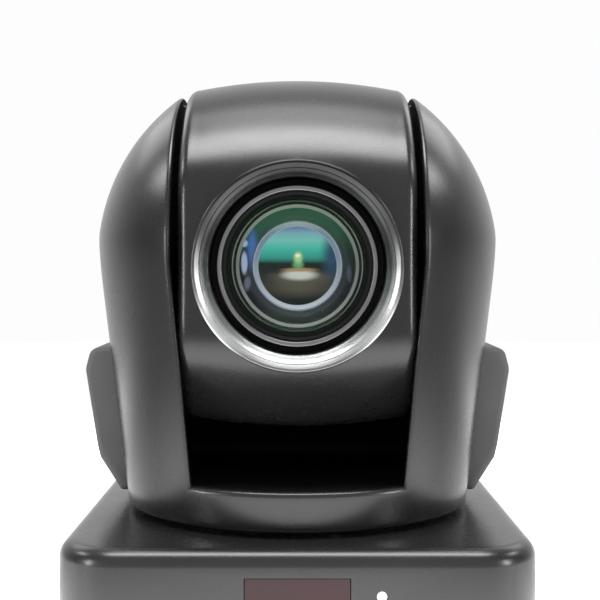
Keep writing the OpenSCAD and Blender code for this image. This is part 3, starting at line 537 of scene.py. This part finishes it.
def yoke_radius(z, inset=0.0):
    """Radius of the yoke at a height from the tilt axis."""
    split = math.radians(DOME_START)
    blend_top = (DOME_R * math.cos(split), DOME_MID + DOME_R * math.sin(split))
    if z >= blend_top[1]:
        r = DOME_R - inset
        return math.sqrt(max(r * r - (z - DOME_MID) ** 2, 0))
    if z <= CONE_TOP[1]:
        share = (z - FOOT[1]) / (CONE_TOP[1] - FOOT[1])
        return FOOT[0] + (CONE_TOP[0] - FOOT[0]) * share - inset
    a = CONE_TOP[1] - 2 * CONE_BEND[1] + blend_top[1]
    b = 2 * (CONE_BEND[1] - CONE_TOP[1])
    c = CONE_TOP[1] - z
    t = (-b + math.sqrt(b * b - 4 * a * c)) / (2 * a)
    return (1 - t) ** 2 * CONE_TOP[0] + 2 * t * (1 - t) * CONE_BEND[0] + t * t * blend_top[0] - inset


def slot_half(z):
    """Half the width of the slot between the arms, at a height from the tilt axis."""
    if z >= 0:
        return SLOT_HALF
    return SLOT_HALF + (SLOT_MOUTH - SLOT_HALF) * min(z / SLOT_FLOOR, 1.0)


def rim_reach(theta, inset):
    """Distance from the dome's middle to the slot's edge, at an angle seen along X."""
    low, high = 0.0, DOME_R
    for _ in range(40):
        mid = (low + high) / 2
        z = DOME_MID + mid * math.sin(theta)
        inside = yoke_radius(z, inset) ** 2 - (mid * math.cos(theta)) ** 2 > SLOT_HALF ** 2
        low, high = (mid, high) if inside else (low, mid)
    return low


COLS = 26  # columns from the middle of an arm to its rim
FAN = 84  # rows of the fan over the top of an arm
ROW_STEP = 1.9 * MM
MAX_SHARE = 0.98  # the most of a row's radius that the slot may take up
SLACK = 1e-6


def column_shares():
    """How far each column lies from the middle of an arm towards its rim, evenly along the surface."""
    start = math.asin(SLOT_HALF / DOME_R)
    return [math.cos(start + (math.pi / 2 - start) * i / COLS) / math.cos(start) for i in range(COLS + 1)]


def yoke_rows(inset):
    """(radius, height) of the rows from the dome's middle down to the lip, for the outer or the inner skin."""
    heights = [DOME_MID - ROW_STEP * j for j in range(1, 16)]
    heights += [REAR_WALL_TOP - ROW_STEP * j for j in range(0, 20)]
    heights += [SLOT_FLOOR, SLOT_FLOOR - 3 * MM, SLOT_FLOOR - 6 * MM, SLOT_FLOOR - 9 * MM]
    heights = [z for z in heights if z > FOOT[1] + 0.5 * MM]
    heights = sorted(set(heights), reverse=True)
    rows = [(yoke_radius(z, inset), z) for z in heights]
    low = FOOT[1] - FOOT_EDGE
    for k in range(5):
        a = math.radians(90 * k / 4)
        if inset:  # the inner skin has a small flat corner where the outer one is rounded
            rows.append((FOOT[0] - inset - 0.3 * MM * k, low + inset + 0.15 * MM * (4 - k)))
        else:
            rows.append((FOOT[0] - FOOT_EDGE + FOOT_EDGE * math.cos(a), FOOT[1] - FOOT_EDGE * math.sin(a)))
    for r in (50 * MM, LIP_R):
        rows.append((r, low + inset))
    return rows


def yoke_skin(inset):
    """Points and faces of one skin of the whole yoke. Both skins share the same faces."""
    points, index, faces = [], {}, []

    def vertex(key, p):
        if key not in index:
            index[key] = len(points)
            points.append(Vector((p[0], p[1], p[2] + TILT_Z)))
        return index[key]

    shares = column_shares()

    def arm_point(side, y, z, radius):
        return (side * math.sqrt(max(radius * radius - y * y, 0)), y, z)

    for side in (-1, 1):
        fan = []
        for k in range(FAN + 1):
            theta = math.pi * k / FAN
            reach = rim_reach(theta, inset)
            line = []
            for i, share in enumerate(shares):
                y = -reach * share * math.cos(theta)
                z = DOME_MID + reach * share * math.sin(theta)
                key = ("pole", side) if i == COLS else ("fan", side, k, i)
                line.append(vertex(key, arm_point(side, y, z, yoke_radius(z, inset))))
            fan.append(line)
        for k in range(FAN):
            for i in range(COLS):
                quad = [fan[k][i], fan[k + 1][i], fan[k + 1][i + 1], fan[k][i + 1]]
                faces.append([v for n, v in enumerate(quad) if v not in quad[:n]])
        above = fan[0] + fan[FAN][:COLS][::-1]
        for j, (radius, z) in enumerate(yoke_rows(inset)):
            half = min(slot_half(z), radius * MAX_SHARE)
            reach = math.sqrt(radius * radius - half * half)
            line = []
            for c in range(2 * COLS + 1):
                share = shares[c] if c <= COLS else -shares[2 * COLS - c]
                key = ("row", j, "rim", side, c == 0) if c in (0, 2 * COLS) else ("row", side, j, c)
                line.append(vertex(key, arm_point(side, -reach * share, z, radius)))
            for c in range(2 * COLS):
                faces.append([above[c], line[c], line[c + 1], above[c + 1]])
            above = line

    band = 24
    for front, top in ((True, SLOT_FLOOR), (False, REAR_WALL_TOP)):
        above = None
        for j, (radius, z) in enumerate(yoke_rows(inset)):
            if z > top + SLACK:
                continue
            half = min(slot_half(z), radius * MAX_SHARE)
            line = []
            for c in range(band + 1):
                x = -half + 2 * half * c / band
                y = math.sqrt(radius * radius - x * x) * (-1 if front else 1)
                key = ("row", j, "rim", -1 if c == 0 else 1, front) if c in (0, band) else ("band", front, j, c)
                line.append(vertex(key, (x, y, z)))
            if above:
                for c in range(band):
                    faces.append([above[c], line[c], line[c + 1], above[c + 1]])
            above = line
    return points, faces


def yoke_body():
    """The whole yoke as one closed shell with rounded rims, before it is parted."""
    outer, faces = yoke_skin(0)
    inner, _ = yoke_skin(YOKE_WALL)
    count = len(outer)
    uses = {}
    for face in faces:
        for a, b in zip(face, face[1:] + face[:1]):
            uses.setdefault(frozenset((a, b)), []).append((a, b))
    every = [tuple(f) for f in faces] + [tuple(v + count for v in reversed(f)) for f in faces]
    rim = [pair[0] for pair in uses.values() if len(pair) == 1]
    every += [(b, a, a + count, b + count) for a, b in rim]
    obj = new_object("yoke", outer + inner, every)
    bm = bmesh.new()
    bm.from_mesh(obj.data)
    bmesh.ops.recalc_face_normals(bm, faces=bm.faces)
    bm.verts.ensure_lookup_table()
    edges = [bm.edges.get((bm.verts[a], bm.verts[b])) for a, b in rim]
    bmesh.ops.bevel(bm, geom=[e for e in edges if e], offset=RIM_ROUND, offset_type="OFFSET", segments=6,
                    profile=0.5, affect="EDGES", clamp_overlap=False)
    bm.to_mesh(obj.data)
    bm.free()
    return clean(obj, 40)


FAR = 0.3  # beyond the whole camera in any direction


def line_inside(obj):
    """The hidden side of a moulding is left matt: the faces that look at the yoke's axis take the inner plastic,
    whose darker colour is partly painted shade.
    """
    obj.data.materials.append(INNER)
    squarely = 0.7
    for face in obj.data.polygons:
        spot, way = face.center, face.normal
        inward = spot.x * way.x + spot.y * way.y < -squarely * math.hypot(spot.x, spot.y)
        face.material_index = 1 if inward else 0


def parted(obj, name, axis, low, high):
    """A copy of obj between two planes across an axis (0, 1 or 2)."""
    copy = obj.copy()
    copy.data = obj.data.copy()
    copy.name = name
    SCENE.collection.objects.link(copy)
    corner_low, corner_high = [-FAR] * 3, [FAR] * 3
    corner_low[axis], corner_high[axis] = low, high
    return cut(copy, [box_tool(corner_low, corner_high)], "INTERSECT")


def build_yoke():
    whole = yoke_body()
    shell = parted(whole, "yoke_front_moulding", 1, -FAR, SPLIT_Y)
    rear = parted(whole, "yoke_rear_moulding", 1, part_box("yoke_rear_cover")[0].y, FAR)
    bpy.data.objects.remove(whole)
    # The tilt motor's opening in the arm's wall, under the pod, and its twin in the other arm
    motor = middle("tilt_motor")
    opening_r, opening_length = 13.5 * MM, 24 * MM
    cut(shell, [rod_tool((x, motor.y, motor.z), "x", opening_r, opening_length) for x in (-58 * MM, 42 * MM)])
    finish_piece(shell, "yoke", "shell_black", SHELL, "yoke_shell")
    line_inside(shell)
    tools = []
    screws = [(s * 43 * MM, TILT_Z + rise) for s in (-1, 1) for rise in (-56 * MM, 12 * MM)]
    for x, z in screws:
        tools.append(rod_tool((x, 40 * MM, z), "y", WELL_R, WELL_DEPTH, WELL_SIDES))
    louvre_half = 1.2 * MM
    for i in range(-4, 5):
        x = i * 5.6 * MM
        tools.append(box_tool((x - louvre_half, 30 * MM, 52 * MM), (x + louvre_half, 90 * MM, 72 * MM)))
    cut(rear, tools)
    finish_piece(rear, "yoke", "shell_black", SHELL, "yoke_rear_cover")
    line_inside(rear)
    # A dark sheet that stands in for the shade behind the rear louvres.
    finish_piece(louvre_shade_sheet(), "yoke", "inner_black", INNER)
    for i, (x, z) in enumerate(screws):
        well = screw_well(f"cover_screw_well_{i}", (x, 36.4 * MM, z), 4.4 * MM, 3.4 * MM)
        finish_piece(well, "yoke", "shell_black", SHELL)


def louvre_shade_sheet():
    """A dark sheet behind the rear louvres that stands in for the shade inside them: a thin sheet that follows the
    inner face of the rear cover.
    """
    across, up = 20, 8
    gap, thick = 0.05 * MM, 0.4 * MM
    low, rise, half = 49.5, 25, 26
    rows = []
    for depth in (gap, gap + thick):
        for j in range(up + 1):
            z = (low + rise * j / up) * MM
            radius = yoke_radius(z - TILT_Z, YOKE_WALL) - depth
            xs = [(-half + 2 * half * i / across) * MM for i in range(across + 1)]
            rows.append([(x, math.sqrt(radius * radius - x * x), z) for x in xs])
    wide = across + 1
    back = wide * (up + 1)
    faces = []
    for j in range(up):
        for i in range(across):
            a = j * wide + i
            quad = (a, a + 1, a + 1 + wide, a + wide)
            faces += [quad, tuple(back + v for v in (quad[0], quad[3], quad[2], quad[1]))]
    edge = list(range(wide)) + [j * wide + across for j in range(1, up + 1)]
    edge += [up * wide + i for i in range(across - 1, -1, -1)] + [j * wide for j in range(up - 1, 0, -1)]
    faces += [(a, b, b + back, a + back) for a, b in zip(edge, edge[1:] + edge[:1])]
    return clean(new_object("louvre_shade_sheet", [p for row in rows for p in row], faces))


def screw_well(name, centre, outer, length):
    """The moulded floor of the well that a screw sits in: a short tube along Y with a hole for the screw."""
    x0, y0, z0 = centre
    hole = 1.4 * MM
    outline = [(hole, 0.0), (WELL_R + 0.1 * MM, 0.0), (outer, 0.0), (outer, length), (hole, length)]
    verts = []
    for k in range(WELL_SIDES):
        a = 2 * math.pi * k / WELL_SIDES
        verts += [(x0 + r * math.cos(a), y0 + y, z0 + r * math.sin(a)) for r, y in outline]
    return clean(new_object(name, verts, turned_faces(len(outline), WELL_SIDES)))


# ---------- head ----------

def head_outline(phi):
    """Distance of the head's skin from the tilt axis, at an angle from the front over the top."""
    power = 50  # how tightly the three outlines blend into one
    least = 0.05  # a flat side that is nearer to edge-on than this is out of reach
    terms = [HEAD_R]
    if math.cos(phi) > least:
        terms.append(FACE_Y / math.cos(phi))
    if math.sin(phi) < -least:
        terms.append(BELLY_Z / -math.sin(phi))
    return sum(t ** -power for t in terms) ** (-1 / power)


def head_stations(half, edge):
    """(x, inset) across the head: a crowned middle and a rounded edge at each side."""
    flat = half - edge
    count, corner_count = 14, 8
    middle_part = [(flat * i / count, CROWN * (flat * i / count) ** 2) for i in range(-count, count + 1)]
    corner = []
    for k in range(1, corner_count + 1):
        a = math.radians(90 * k / corner_count)
        corner.append((flat + edge * math.sin(a), CROWN * flat * flat + edge * (1 - math.cos(a))))
    return [(-x, d) for x, d in reversed(corner)] + middle_part + corner


def head_skin(wall, name):
    """The head as a closed solid, as it is or shrunk by its wall, with more rings across its flat ends."""
    half = HEAD_HALF - wall
    edge = max(HEAD_EDGE - wall, 0.8 * MM)
    stations = head_stations(half, edge)
    first, last = stations[0], stations[-1]
    slices = [(*first, scale) for scale in (0.25, 0.5, 0.75)]
    slices += [(*station, 1.0) for station in stations]
    slices += [(*last, scale) for scale in (0.75, 0.5, 0.25)]
    around = 240
    turns = [2 * math.pi * k / around for k in range(around)]
    rings = []
    for x, drop, scale in slices:
        reaches = [(phi, (head_outline(phi) - wall - drop) * scale) for phi in turns]
        rings.append([(x, -rho * math.cos(phi), TILT_Z + rho * math.sin(phi)) for phi, rho in reaches])
    return loft(name, rings)


def build_head():
    whole = head_skin(0, "head")
    hollow = head_skin(HEAD_WALL, "tool")
    cut(whole, [hollow,
                rod_tool((-FAR, 0, TILT_Z), "x", TRUNNION_HOLE_R, 2 * FAR),
                rod_tool((0, -FAR, LENS_Z), "y", BEZEL_R + SEAM, FAR - 45 * MM, 160)])
    front = parted(whole, "head_front_moulding", 1, -FAR, HEAD_SPLIT_Y)
    rear = parted(whole, "head_rear_moulding", 1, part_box("head_rear_shell")[0].y, FAR)
    bpy.data.objects.remove(whole)
    finish_piece(front, "head", "shell_black", SHELL, "head_shell")
    screws = [(sx * 20 * MM, LENS_Z + sz * 23 * MM) for sx in (-1, 1) for sz in (-1, 1)]
    tools = [rod_tool((x, 46.5 * MM, z), "y", WELL_R, WELL_DEPTH, WELL_SIDES) for x, z in screws]
    louvre_half, louvre_reach = 1 * MM, 12 * MM
    for i in range(-2, 3):
        z = TILT_Z + i * 5 * MM
        tools.append(box_tool((-louvre_reach, 30 * MM, z - louvre_half), (louvre_reach, 90 * MM, z + louvre_half)))
    cut(rear, tools)
    finish_piece(rear, "head", "shell_black", SHELL, "head_rear_shell")
    for i, (x, z) in enumerate(screws):
        well = screw_well(f"head_screw_well_{i}", (x, 44.2 * MM, z), 4.2 * MM, 2.3 * MM)
        finish_piece(well, "head", "shell_black", SHELL)


# ---------- base and pods ----------

def rounded_square(half, radius):
    """(x, y) points of a square with rounded corners."""
    steps = 12
    points = []
    for corner in range(4):
        a0 = corner * math.pi / 2
        cx = (half - radius) * (1 if corner in (0, 3) else -1)
        cy = (half - radius) * (1 if corner in (0, 1) else -1)
        for k in range(steps + 1):
            a = a0 + math.pi / 2 * k / steps
            points.append((cx + radius * math.cos(a), cy + radius * math.sin(a)))
    return points


def base_solid(name, inset, low, top, edge):
    """The base as a closed solid: a small edge at its foot and a rounded one at its top."""
    rings = []
    foot_edge = 0.6 * MM
    for up, inward in ((0.0, foot_edge), (foot_edge, 0.0)):
        outline = rounded_square(BASE_HALF - inset - inward, BASE_CORNER - inset - inward)
        rings.append([(x, y, low + up) for x, y in outline])
    steps = 10
    for k in range(steps + 1):
        a = math.radians(90 * k / steps)
        inward = inset + edge * (1 - math.cos(a))
        z = top - edge * (1 - math.sin(a))
        outline = rounded_square(BASE_HALF - inward, max(BASE_CORNER - inward, 1 * MM))
        rings.append([(x, y, z) for x, y in outline])
    return loft(name, rings)


def build_base():
    shell = base_solid("base_moulding", 0, BASE_LOW, BASE_TOP, BASE_EDGE)
    cavity = base_solid("tool", BASE_WALL, BASE_LOW - 5 * MM, BASE_TOP - BASE_WALL, 3 * MM)
    panel_low, panel_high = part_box("connector_panel")
    eye_low, eye_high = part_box("infrared_window")
    led = middle("status_light")
    gap = 0.25 * MM
    past = 9 * MM
    pan_hole_r, led_hole_r = 20 * MM, 1.6 * MM
    tools = [cavity, rod_tool((0, 0, BASE_TOP - 8 * MM), "z", pan_hole_r, 20 * MM, 96)]
    tools.append(box_tool((panel_low.x - gap, BASE_HALF - 6 * MM, panel_low.z - gap),
                          (panel_high.x + gap, BASE_HALF + past, panel_high.z + gap)))
    tools.append(box_tool((eye_low.x - gap, -BASE_HALF - past, eye_low.z - gap),
                          (eye_high.x + gap, -BASE_HALF + past, eye_high.z + gap)))
    tools.append(rod_tool((led.x, -BASE_HALF - past, led.z), "y", led_hole_r, 2 * past, 40))
    cut(shell, tools)
    finish_piece(shell, "base", "shell_black", SHELL, "base_shell")


def pod_outline(inset):
    """Corners of a side pod seen from the front, outward from the pan axis, heights from the tilt axis.

    The inset draws the outline in for the pod's rounded ends, but not on the side that faces the yoke.
    """
    corners = [(54, -78), (60.4, -78), (67.6, -66.8), (68.6, -62.5), (72.7, -36.5), (70.9, -29.5), (54, -28.6)]
    corners = [(x * MM, z * MM) for x, z in corners]
    points = fillet(corners, [0, 1.5 * MM, 4 * MM, 6 * MM, 6 * MM, 3.4 * MM, 0], steps=6)
    step = 0.9 * inset
    out = []
    for x, z in points:
        if x > 56 * MM:
            x -= step
        if z < -64 * MM:
            z += step
        elif z > -40 * MM:
            z -= step
        out.append((x, z))
    return out


def build_pods():
    for side, name in ((-1, "left"), (1, "right")):
        node = f"side_pod_{name}"
        lo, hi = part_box(node)
        edge = 2.4 * MM
        turns = [math.radians(15 * k) for k in range(7)]
        rounds = [(edge * (1 - math.cos(a)), edge * (1 - math.sin(a))) for a in turns]
        stations = [(lo.y + deep, inset) for deep, inset in rounds]
        stations += [(hi.y - deep, inset) for deep, inset in reversed(rounds)]
        loops = [[(side * x, y, TILT_Z + z) for x, z in pod_outline(inset)] for y, inset in stations]
        pod = loft(f"pod_{name}", loops)
        tools = []
        louvre_half, margin = 0.7 * MM, 6 * MM
        x0, x1 = sorted((side * 63 * MM, side * 90 * MM))
        for i in range(7):
            z = TILT_Z + (-62.3 + i * 3.6) * MM
            tools.append(box_tool((x0, lo.y + margin, z - louvre_half), (x1, hi.y - margin, z + louvre_half)))
        cut(pod, tools)
        finish_piece(pod, "yoke", "pod_grey", POD, node)


# ---------- lens ----------

def ring(name, inner, outer, front, back, edge, body, mat, slot="inner_black"):
    """A ring about the lens axis with rounded edges. inner and outer are radii, front and back are y, all in mm."""
    corners = [(inner * MM, front * MM), (outer * MM, front * MM), (outer * MM, back * MM), (inner * MM, back * MM)]
    back_edge = 0.05 * MM
    outline = fillet(corners, [edge * MM] * 2 + [back_edge] * 2, steps=4)
    finish_piece(lathe(name, outline, 160), body, slot, mat)


def build_lens():
    # (radius, y) corners of each profile, each with the radius that rounds it
    f = BEZEL_FRONT
    r = BEZEL_R
    corners = [(r, f + 1.0 * MM), (31.5 * MM, f + 0.35 * MM), (31.15 * MM, f), (30.5 * MM, f + 0.1 * MM),
               (29.25 * MM, f + 0.98 * MM), (29.1 * MM, f + 1.22 * MM), (28.95 * MM, f + 1.2 * MM),
               (28.0 * MM, f + 2.1 * MM), (27.2 * MM, f + 3.05 * MM), (26.6 * MM, f + 3.7 * MM),
               (26.6 * MM, f + 14 * MM), (29 * MM, f + 14 * MM), (29 * MM, f + 12 * MM), (r, f + 12 * MM)]
    radii = [0.3, 0.4, 0.3, 0.3, 0.1, 0.05, 0.1, 1.0, 0.6, 0.4, 0, 0, 0, 0]
    outline = fillet(corners, [v * MM for v in radii], steps=4)
    finish_piece(lathe("bezel_ring", outline, 200), "head", "bezel_silver", BEZEL, "lens_bezel")

    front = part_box("lens_barrel")[0].y
    steps_in = [(24.5, 22), (24.5, 3.2), (23.9, 2.9), (23.9, 0.6), (22.9, 0.6), (22.6, 3.5), (20.5, 3.7),
                (20.3, 6.4), (19.0, 6.6), (18.9, 8.2), (18.0, 8.5), (17.0, 12.0), (15.9, 14.6),
                (15.0, 15.4), (15.0, 22.9), (26.6, 22.9), (26.6, 22)]
    corners = [(a * MM, front + b * MM) for a, b in steps_in]
    radii = [0, 0.4, 0.2, 0.35, 0.35, 0.3] + [0.25] * 8 + [0, 0, 0]
    barrel = lathe("barrel", fillet(corners, [v * MM for v in radii], steps=3), 200)
    finish_piece(barrel, "head", "inner_black", BAFFLE, "lens_barrel")

    ring("barrel_lip", 22.75, 24.1, -53.3, -51.6, 0.3, "head", LIP)
    # Painted reflections of the room, laid in as a glow, on the spacer, the baffle and the cone deep in the lens:
    # bands of painted sheen, a painted crescent of light near the cone's top, and the panes of a window painted on as
    # reflections.
    bright = [(0.0, (0.31, 0.30, 0.31)), (0.5, (0.19, 0.185, 0.19)), (1.0, (0.24, 0.30, 0.23))]
    thin = [(0.0, (0.02, 0.025, 0.02)), (0.35, (0.16, 0.17, 0.15)),
            (0.75, (0.16, 0.19, 0.14)), (1.0, (0.04, 0.06, 0.04))]
    ring("spacer_ring", 19.55, 19.95, -47.6, -46.9, 0.15, "head", painted_room_reflection("spacer_glint", thin, 20, [], 0.8))
    ring("baffle_ring", 17.75, 18.75, -46.9, -45.6, 0.3, "head", painted_room_reflection("baffle_glint", bright, 19, [], 0.8))
    crescent = [(0.0, (0.006, 0.006, 0.008)), (0.42, (0.005, 0.005, 0.007)), (0.62, (0.006, 0.014, 0.009)),
                (0.8, (0.010, 0.050, 0.020)), (1.0, (0.012, 0.060, 0.024))]
    window = (0.36, 0.39, 0.55)
    painted_pane_reflections = [((-13.9, 5.2), (1.3, 5.2), 0.8, (0.04, 0.12, 0.38)),
             ((-16.3, 6.9), (1.05, 1.05), 0.4, window), ((-16.3, 0.9), (0.85, 3.3), 0.3, window),
             ((-15.4, -5.4), (0.85, 2.0), 0.5, (0.11, 0.12, 0.18)),
             ((15.9, -2.4), (0.6, 2.6), 0.5, (0.05, 0.055, 0.075))]
    outline = [(17.75 * MM, -45.7 * MM), (14.2 * MM, -38.9 * MM), (14.2 * MM, -38.5 * MM), (17.75 * MM, -45.2 * MM)]
    cone = lathe("inner_cone", outline, 160)
    finish_piece(cone, "head", "inner_black", painted_room_reflection("inner_cone_glint", crescent, 17.7, painted_pane_reflections, 0.9))


def dome_points(radius, edge_y, sag, steps):
    """(radius, y) points of a lens face from its middle to its edge. sag is how far it bulges to the front."""
    curve = (radius * radius + sag * sag) / 2 / sag
    reach = math.asin(radius / curve)
    return [(curve * math.sin(reach * i / steps), edge_y + curve * (math.cos(reach) - math.cos(reach * i / steps)))
            for i in range(steps + 1)]


def build_glass():
    lo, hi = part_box("front_glass")
    edge = hi.y
    radius = hi.x
    outer = dome_points(radius, edge, edge - lo.y, 20)
    thick = 1.6 * MM
    inner = [(r, y + thick) for r, y in reversed(dome_points(radius - 1 * MM, edge - 1.4 * MM, 2.2 * MM, 20))]
    glass = lathe("front_element", outer + inner, 160)
    mat = coated_glass("front_glass_coating", (0.95, 0.985, 0.965), (0.32, 0.52, 0.38), 0.010)
    finish_piece(glass, "head", "lens_glass", mat, "front_glass")
    glass.visible_shadow = False

    # Painted reflections of the room, laid in as a glow, on the cell's rim and ring: bands of painted sheen from the
    # bottom to the top.
    cell = [(0.0, (0.62, 0.64, 0.74)), (0.3, (0.40, 0.42, 0.52)), (0.6, (0.24, 0.27, 0.40)),
            (0.88, (0.20, 0.27, 0.38)), (1.0, (0.34, 0.44, 0.46))]
    dark = [(0.0, (0.10, 0.10, 0.13)), (0.5, (0.05, 0.06, 0.09)), (1.0, (0.08, 0.13, 0.10))]
    ring("cell_rim", 13.9, 14.5, -38.4, -37.8, 0.12, "zoom_group", painted_room_reflection("rim_glint", dark, 14.5, [], 0.9),
         "lens_cell")
    ring("cell_ring", 12.35, 13.5, -38.7, -37.6, 0.35, "zoom_group", painted_room_reflection("cell_glint", cell, 13.5, [], 0.8),
         "lens_cell")
    element_r = 12.4
    disc = dome_points(element_r * MM, -37.9 * MM, 0.5 * MM, 16)
    element = lathe("zoom_element", disc + [(element_r * MM, -37.5 * MM), (0, -37.3 * MM)], 120)
    # The zoom element's painted reflection of the room, laid in as a glow: dark below the middle, a painted teal and
    # blue sheen above it, and painted reflections of bright things in the room as blobs.
    stops = [(0.0, (0.004, 0.004, 0.006)), (0.10, (0.010, 0.010, 0.012)), (0.22, (0.030, 0.026, 0.020)),
             (0.36, (0.020, 0.018, 0.016)), (0.47, (0.006, 0.006, 0.007)), (0.53, (0.004, 0.010, 0.010)),
             (0.60, (0.035, 0.30, 0.25)), (0.72, (0.06, 0.49, 0.41)), (0.82, (0.19, 0.55, 0.50)),
             (0.91, (0.20, 0.42, 0.50)), (0.97, (0.16, 0.24, 0.42)), (1.0, (0.14, 0.18, 0.32))]
    blobs = [((10.6, 3.0), (2.4, 6.0), 0.9, (0.02, 0.06, 0.13)),
             ((0.6, -6.2), (7.4, 2.7), 0.9, (0.10, 0.088, 0.070)),
             ((0.9, -3.5), (7.8, 1.7), 0.7, (0.12, 0.10, 0.08)),
             ((0.6, -2.8), (4.9, 1.5), 0.5, (0.62, 0.62, 0.58)),
             ((0.6, -1.2), (4.7, 0.55), 0.6, (0.42, 0.25, 0.11)),
             ((0.2, 0.4), (1.6, 1.3), 0.5, (0.13, 0.36, 0.17)),
             ((0.2, 2.6), (1.3, 1.7), 0.5, (0.42, 0.66, 0.27)),
             ((0.1, 3.2), (0.75, 0.6), 0.5, (0.85, 0.95, 0.62))]
    lens_reflection = painted_room_reflection("zoom_painted_reflection", stops, element_r, blobs, 0.85, 0.1)
    finish_piece(element, "zoom_group", "lens_glass", lens_reflection)


# ---------- carried-over CAD nodes ----------

def build_carried():
    """Paints the CAD nodes that stay as they are, and softens the ones that show."""
    slots = {row["node"]: row["material_slot"] for row in frame["record"]["subparts"]}
    shown = {"rubber_feet", "connector_panel", "arm_liner_left", "arm_liner_right", "slot_floor", "base_plate",
             "format_dial", "infrared_window", "status_light", "dust_seal", "yoke_frame", "tripod_bush"}
    for node, obj in frame["nodes"].items():
        slot = slots[node]
        if slot in MATERIALS:
            paint(obj, MATERIALS[slot])
        if node in shown:
            soften(obj, 0.25 * MM, 40, 2)
    paint(frame["nodes"]["connector_panel"], PANEL)
    paint(frame["nodes"]["glass_retainer"], BAFFLE)


# ---------- studio ----------

def area_light(name, place, target, size_x, size_y, power):
    data = bpy.data.lights.new(name, "AREA")
    data.shape = "RECTANGLE"
    data.size = size_x
    data.size_y = size_y
    data.energy = power
    light = bpy.data.objects.new(name, data)
    light.location = place
    light.rotation_mode = "QUATERNION"
    light.rotation_quaternion = (Vector(target) - Vector(place)).to_track_quat("-Z", "Y")
    SCENE.collection.objects.link(light)


def build_camera():
    """Level with the tilt axis, straight on to the lens."""
    distance = 408 * MM
    camera = bpy.data.cameras.new("camera")
    camera.lens = 71.33
    camera.sensor_width = 36
    camera.shift_x = 0.0042
    camera.shift_y = -0.0633
    camera.clip_start = 0.01
    eye = bpy.data.objects.new("camera", camera)
    eye.location = (0, -distance, TILT_Z)
    eye.rotation_euler = (math.pi / 2, 0, 0)
    SCENE.collection.objects.link(eye)
    SCENE.camera = eye


def build_world():
    """Bright behind, a little less so in front and dark to the sides, which the glossy shell mirrors."""
    world = bpy.data.worlds.new("studio")
    SCENE.world = world
    world.use_nodes = True
    nodes, links = world.node_tree.nodes, world.node_tree.links
    way = split_xyz(nodes, links, nodes.new("ShaderNodeTexCoord").outputs["Generated"])
    depth = share_of(nodes, links, way["Y"], -1, 1)
    walls = [(0.0, 0.75), (0.18, 0.55), (0.42, 0.16), (0.58, 0.20), (0.70, 0.55), (0.86, 1.0)]
    links.new(stepped(nodes, links, depth, [(place, grey(shade)) for place, shade in walls]),
              nodes["Background"].inputs["Color"])
    nodes["Background"].inputs["Strength"].default_value = 0.98


def floor_material():
    """Pale near the camera's foot, with a painted glow in front of it, and further out a glowing white with painted
    pools of light, whose brightness runs from front to back.
    """
    mat, nodes, links, shader = material("pale_floor")
    coords = object_coords(nodes)
    drift = noise(nodes, links, coords, 3, 2)
    links.new(ramp(nodes, links, drift, grey(0.86), grey(0.88)), shader.inputs["Base Color"])
    shader.inputs["Roughness"].default_value = 0.7
    shader.inputs["Specular IOR Level"].default_value = 0.1
    away = length_of(nodes, links, coords)
    fade = share_of(nodes, links, away, 0.12, 0.34, True)
    depth = split_xyz(nodes, links, coords)["Y"]
    # A painted glow on the floor in front of the camera's foot.
    front = share_of(nodes, links, depth, 0.0, -0.06)
    front.node.inputs["To Max"].default_value = 2.0
    links.new(front, shader.inputs["Emission Strength"])
    shader.inputs["Emission Color"].default_value = (1, 1, 1, 1)
    # Painted pools of light: brighter bands of glow on the floor behind the camera's foot.
    near = [(0.0, 0.2), (0.12, 0.4), (0.22, 1.0), (0.34, 1.0), (0.55, 0.48), (1.0, 0.46)]
    far = [(0.0, 0.2), (0.14, 0.25), (0.34, 0.46)]
    pools = nodes.new("ShaderNodeMix")
    pools.data_type = "RGBA"
    links.new(share_of(nodes, links, away, 0.42, 0.58), pools.inputs["Factor"])
    for end, shades in (("A", near), ("B", far)):
        stops = [(place, grey(shade)) for place, shade in shades]
        links.new(stepped(nodes, links, depth, stops), pools.inputs[end])
    white = nodes.new("ShaderNodeEmission")
    white.inputs["Strength"].default_value = 2.2
    links.new(pools.outputs["Result"], white.inputs["Color"])
    mixed = nodes.new("ShaderNodeMixShader")
    links.new(fade, mixed.inputs["Fac"])
    links.new(shader.outputs["BSDF"], mixed.inputs[1])
    links.new(white.outputs["Emission"], mixed.inputs[2])
    links.new(mixed.outputs["Shader"], nodes["Material Output"].inputs["Surface"])
    return mat


def build_floor():
    sides, reach = 96, 1.3
    turns = [2 * math.pi * k / sides for k in range(sides)]
    rim = [(reach * math.cos(a), reach * math.sin(a), 0) for a in turns]
    floor = new_object("floor", rim, [tuple(range(sides))], smooth=False)
    paint(floor, floor_material())


def build_lights():
    """Softboxes, each with its place, target, width, height and watts."""
    target = (0, 0, TILT_Z)
    area_light("overhead_softbox", (0, -0.19, 0.95), (0, -0.08, TILT_Z), 0.86, 0.30, 10.9)
    area_light("overhead_fill", (0, 0.13, 0.95), target, 0.60, 0.32, 2.0)
    for side, name in ((-1, "left"), (1, "right")):
        area_light(f"{name}_front_strip", (side * 0.75, -0.44, 0.12), target, 0.08, 0.42, 2.8)
        area_light(f"{name}_side_softbox", (side * 0.78, 0.05, 0.62), target, 0.26, 0.20, 0.85)
        area_light(f"{name}_side_core", (side * 0.76, 0.05, 0.61), target, 0.12, 0.10, 0.35)
        area_light(f"{name}_back_softbox", (side * 0.60, 0.60, 0.70), target, 0.46, 0.32, 0.88)


SCENE.view_settings.view_transform = "Standard"
build_camera()
build_world()
build_floor()
build_lights()
build_carried()
build_yoke()
build_head()
build_base()
build_pods()
build_lens()
build_glass()
